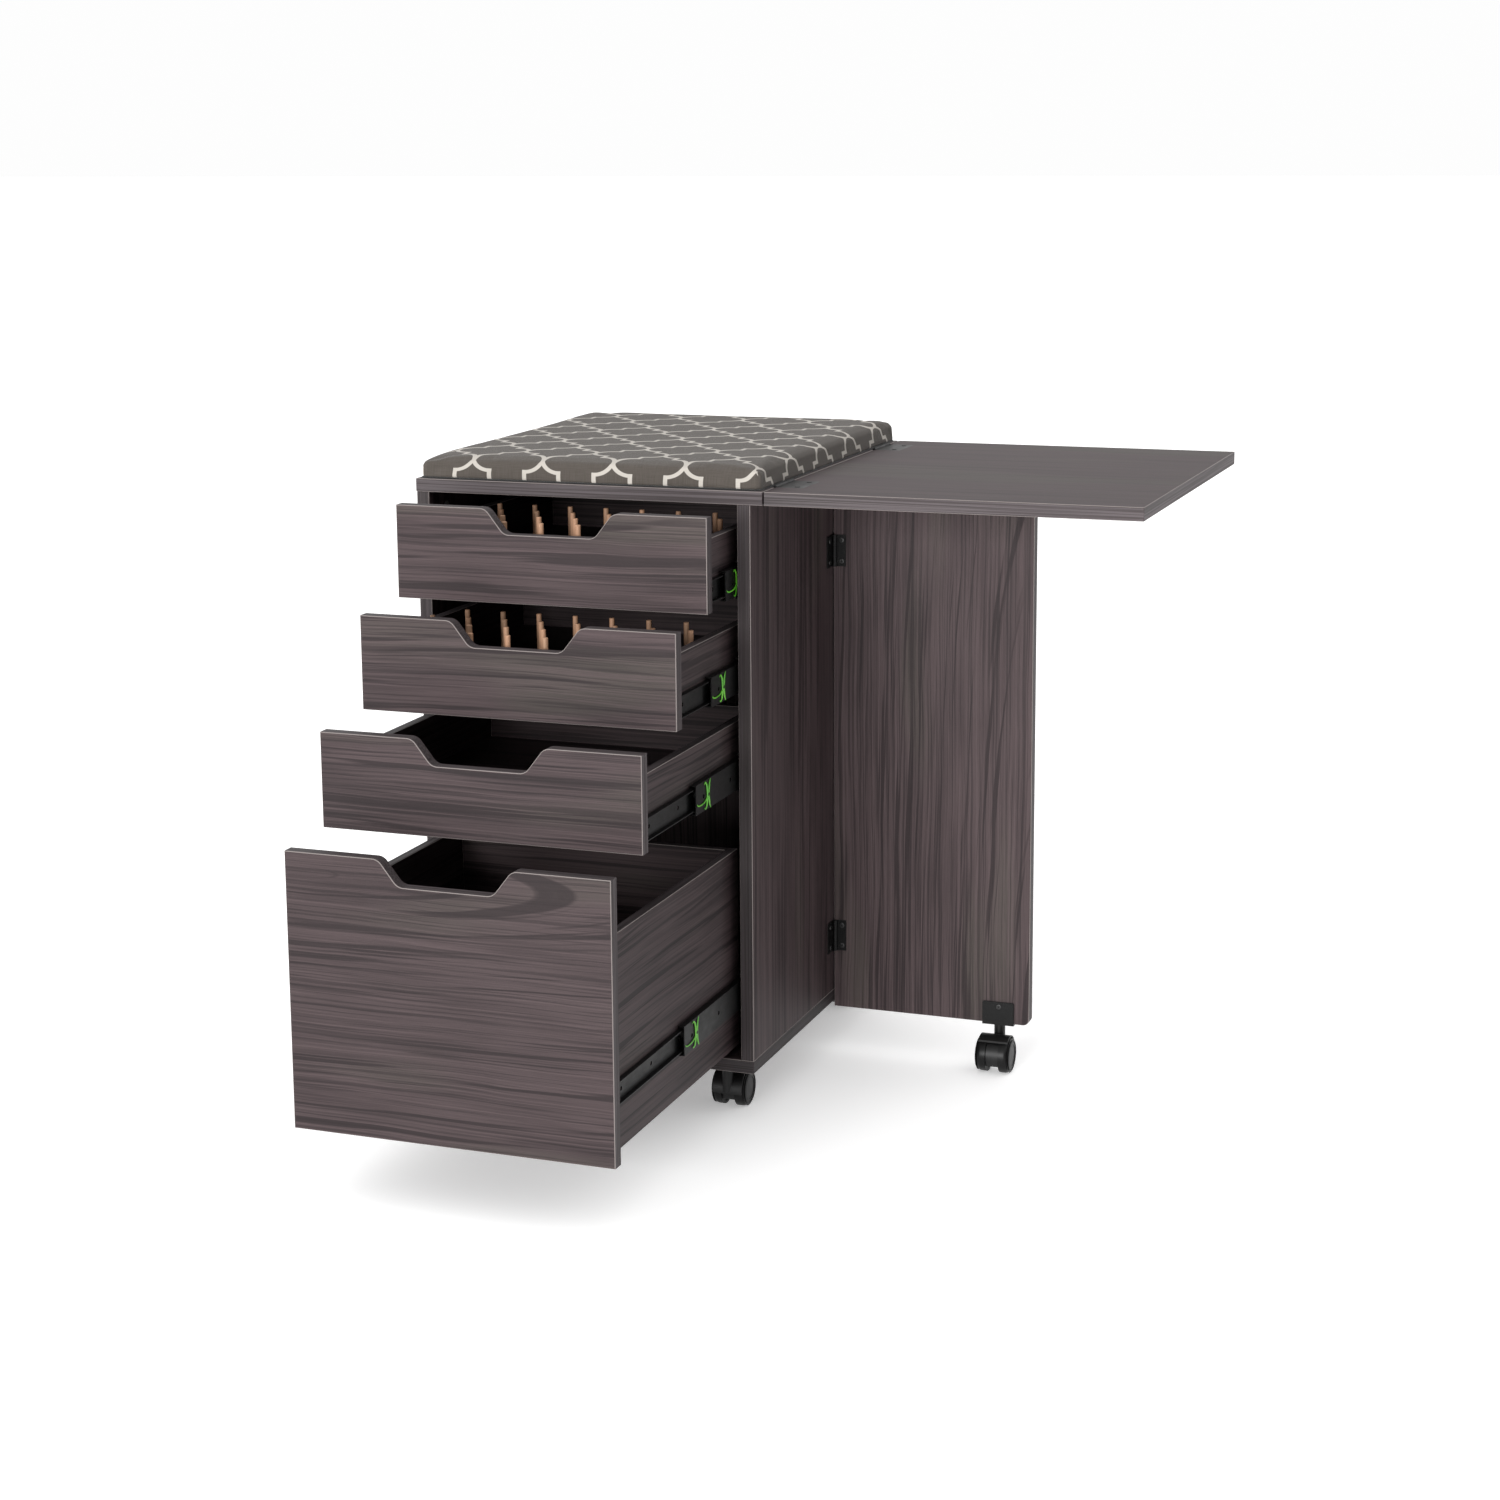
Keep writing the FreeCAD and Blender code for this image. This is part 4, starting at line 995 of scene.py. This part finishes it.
# %% [markdown]
# ### A pattern that wraps
# The print is one flat cloth that turns down over the edges and meets itself at the four corners. The UV map
# copies that: on top it is the plan view, and on a side it goes on past the edge by the height dropped.

# %% Lay the cloth over the cushion
RIM = 9 * MM
RIM_DROP = 1.5 * MM


def side_of(centre):
    """Which part of the cover a face is on: top, or the side it belongs to, as (axis, direction)."""
    past_x = abs(centre.x - PAD_MIDDLE.x) - (PAD_HALF.x - RIM)
    past_y = abs(centre.y - PAD_MIDDLE.y) - (PAD_HALF.y - RIM)
    if max(past_x, past_y) <= 0:
        return None
    if past_x > past_y:
        return 0, math.copysign(1, centre.x - PAD_MIDDLE.x)
    return 1, math.copysign(1, centre.y - PAD_MIDDLE.y)


def lay_cloth(piece):
    mesh = piece.data
    rim_height = PAD_HIGH.z - RIM_DROP
    layer = mesh.uv_layers.new(name="cloth")
    for face in mesh.polygons:
        side = side_of(face.center)
        for corner in face.loop_indices:
            place = mesh.vertices[mesh.loops[corner].vertex_index].co
            flat = [place.x, place.y]
            if side:
                axis, direction = side
                flat[axis] += direction * max(0.0, rim_height - place.z)
            layer.data[corner].uv = flat


lay_cloth(cushion)


# %% [markdown]
# ### The lattice print
# Off-white lines on taupe. Each line runs between two crossings as a quarter oval, a short upright and another
# quarter oval. Folding the coordinates at the pattern's mirror lines leaves a single quarter oval and half an
# upright to draw: the distance to them gives the line.

# %% Printed cotton
REPEAT_X = 90.5 * MM
REPEAT_Y = 112.5 * MM
UPRIGHT = 14.0 * MM
LINE = 5.4 * MM
SOFT_EDGE = 0.25 * MM
THREAD = 0.7 * MM
CROSSING = (-0.372, -0.0615)
SLUB_LONG = 40.0
SLUB_FINE = 1200.0
COTTON = (0.080, 0.069, 0.060, 1.0)
COTTON_DARK = (0.062, 0.053, 0.045, 1.0)
INK = (0.44, 0.41, 0.37, 1.0)


def lattice_lines(tree, u, v):
    """1 on the printed lines and 0 between them."""
    oval_x = REPEAT_X / 4
    oval_y = REPEAT_Y / 4 - UPRIGHT / 2
    fold_x = calc(tree, "PINGPONG", u, REPEAT_X / 2)
    fold_y = calc(tree, "PINGPONG", v, REPEAT_Y / 2)
    far = calc(tree, "GREATER_THAN", fold_y, REPEAT_Y / 4)
    fold_x = blend_number(tree, far, fold_x, calc(tree, "SUBTRACT", REPEAT_X / 2, fold_x))
    fold_y = blend_number(tree, far, fold_y, calc(tree, "SUBTRACT", REPEAT_Y / 2, fold_y))
    from_middle = calc(tree, "SUBTRACT", fold_x, oval_x)
    round_x = calc(tree, "POWER", calc(tree, "ABSOLUTE", calc(tree, "DIVIDE", from_middle, oval_x)), 2.0)
    round_y = calc(tree, "POWER", calc(tree, "DIVIDE", fold_y, oval_y), 2.0)
    off_oval = calc(tree, "SUBTRACT", calc(tree, "SQRT", calc(tree, "ADD", round_x, round_y)), 1.0)
    oval = calc(tree, "MULTIPLY", calc(tree, "ABSOLUTE", off_oval), (oval_x + oval_y) / 2)
    oval = calc(tree, "ADD", oval, calc(tree, "MULTIPLY", calc(tree, "GREATER_THAN", from_middle, LINE / 2), 1.0))
    upright = calc(tree, "ABSOLUTE", from_middle)
    upright = calc(tree, "ADD", upright, calc(tree, "LESS_THAN", fold_y, oval_y - LINE / 2))
    return rise(tree, calc(tree, "MINIMUM", oval, upright), LINE / 2 + SOFT_EDGE, LINE / 2 - SOFT_EDGE)


def printed_cotton():
    material, shader = new_material("printed_cotton")
    tree = material.node_tree
    cloth = node(tree, "ShaderNodeUVMap", uv_map="cloth").outputs[0]
    flat = axes_of(tree, cloth)
    u = calc(tree, "SUBTRACT", flat[0], CROSSING[0])
    v = calc(tree, "SUBTRACT", flat[1], CROSSING[1])
    loose = noise(tree, cloth, 9.0, 1.0)
    u = calc(tree, "ADD", u, calc(tree, "MULTIPLY", calc(tree, "SUBTRACT", loose, 0.5), 8 * MM))
    lines = lattice_lines(tree, u, v)
    warp = calc(tree, "SINE", calc(tree, "MULTIPLY", flat[0], 2 * math.pi / THREAD))
    weft = calc(tree, "SINE", calc(tree, "MULTIPLY", flat[1], 2 * math.pi / THREAD))
    weave = calc(tree, "MULTIPLY", warp, weft)
    slubs = []
    for scale_x, scale_y, layer in ((SLUB_LONG, SLUB_FINE, 0.0), (SLUB_FINE, SLUB_LONG, 3.0)):
        stretched_x = calc(tree, "MULTIPLY", flat[0], scale_x)
        stretched_y = calc(tree, "MULTIPLY", flat[1], scale_y)
        slubs.append(noise(tree, point(tree, stretched_x, stretched_y, layer), 1.0))
    threads = calc(tree, "MULTIPLY", calc(tree, "ADD", *slubs), 0.5)
    ground = blend_colour(tree, rise(tree, threads, 0.35, 0.65), COTTON_DARK, COTTON)
    tone = blend_colour(tree, lines, ground, INK)
    shading = blend_number(tree, calc(tree, "ADD", calc(tree, "MULTIPLY", weave, 0.5), 0.5), 0.90, 1.08)
    tone = blend_colour(tree, 1.0, tone, point(tree, shading, shading, shading), "MULTIPLY")
    plug(tree, shader.inputs["Base Color"], tone)
    plug(tree, shader.inputs["Roughness"], blend_number(tree, lines, 0.88, 0.78))
    shader.inputs["Specular IOR Level"].default_value = 0.25
    shader.inputs["Sheen Weight"].default_value = 0.12
    shader.inputs["Sheen Roughness"].default_value = 0.5
    bump(tree, shader, calc(tree, "ADD", weave, threads), 0.10 * MM, 0.5)
    return material


cushion.data.materials.append(printed_cotton())
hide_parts("pad_cushion")
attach(cushion, "pad")
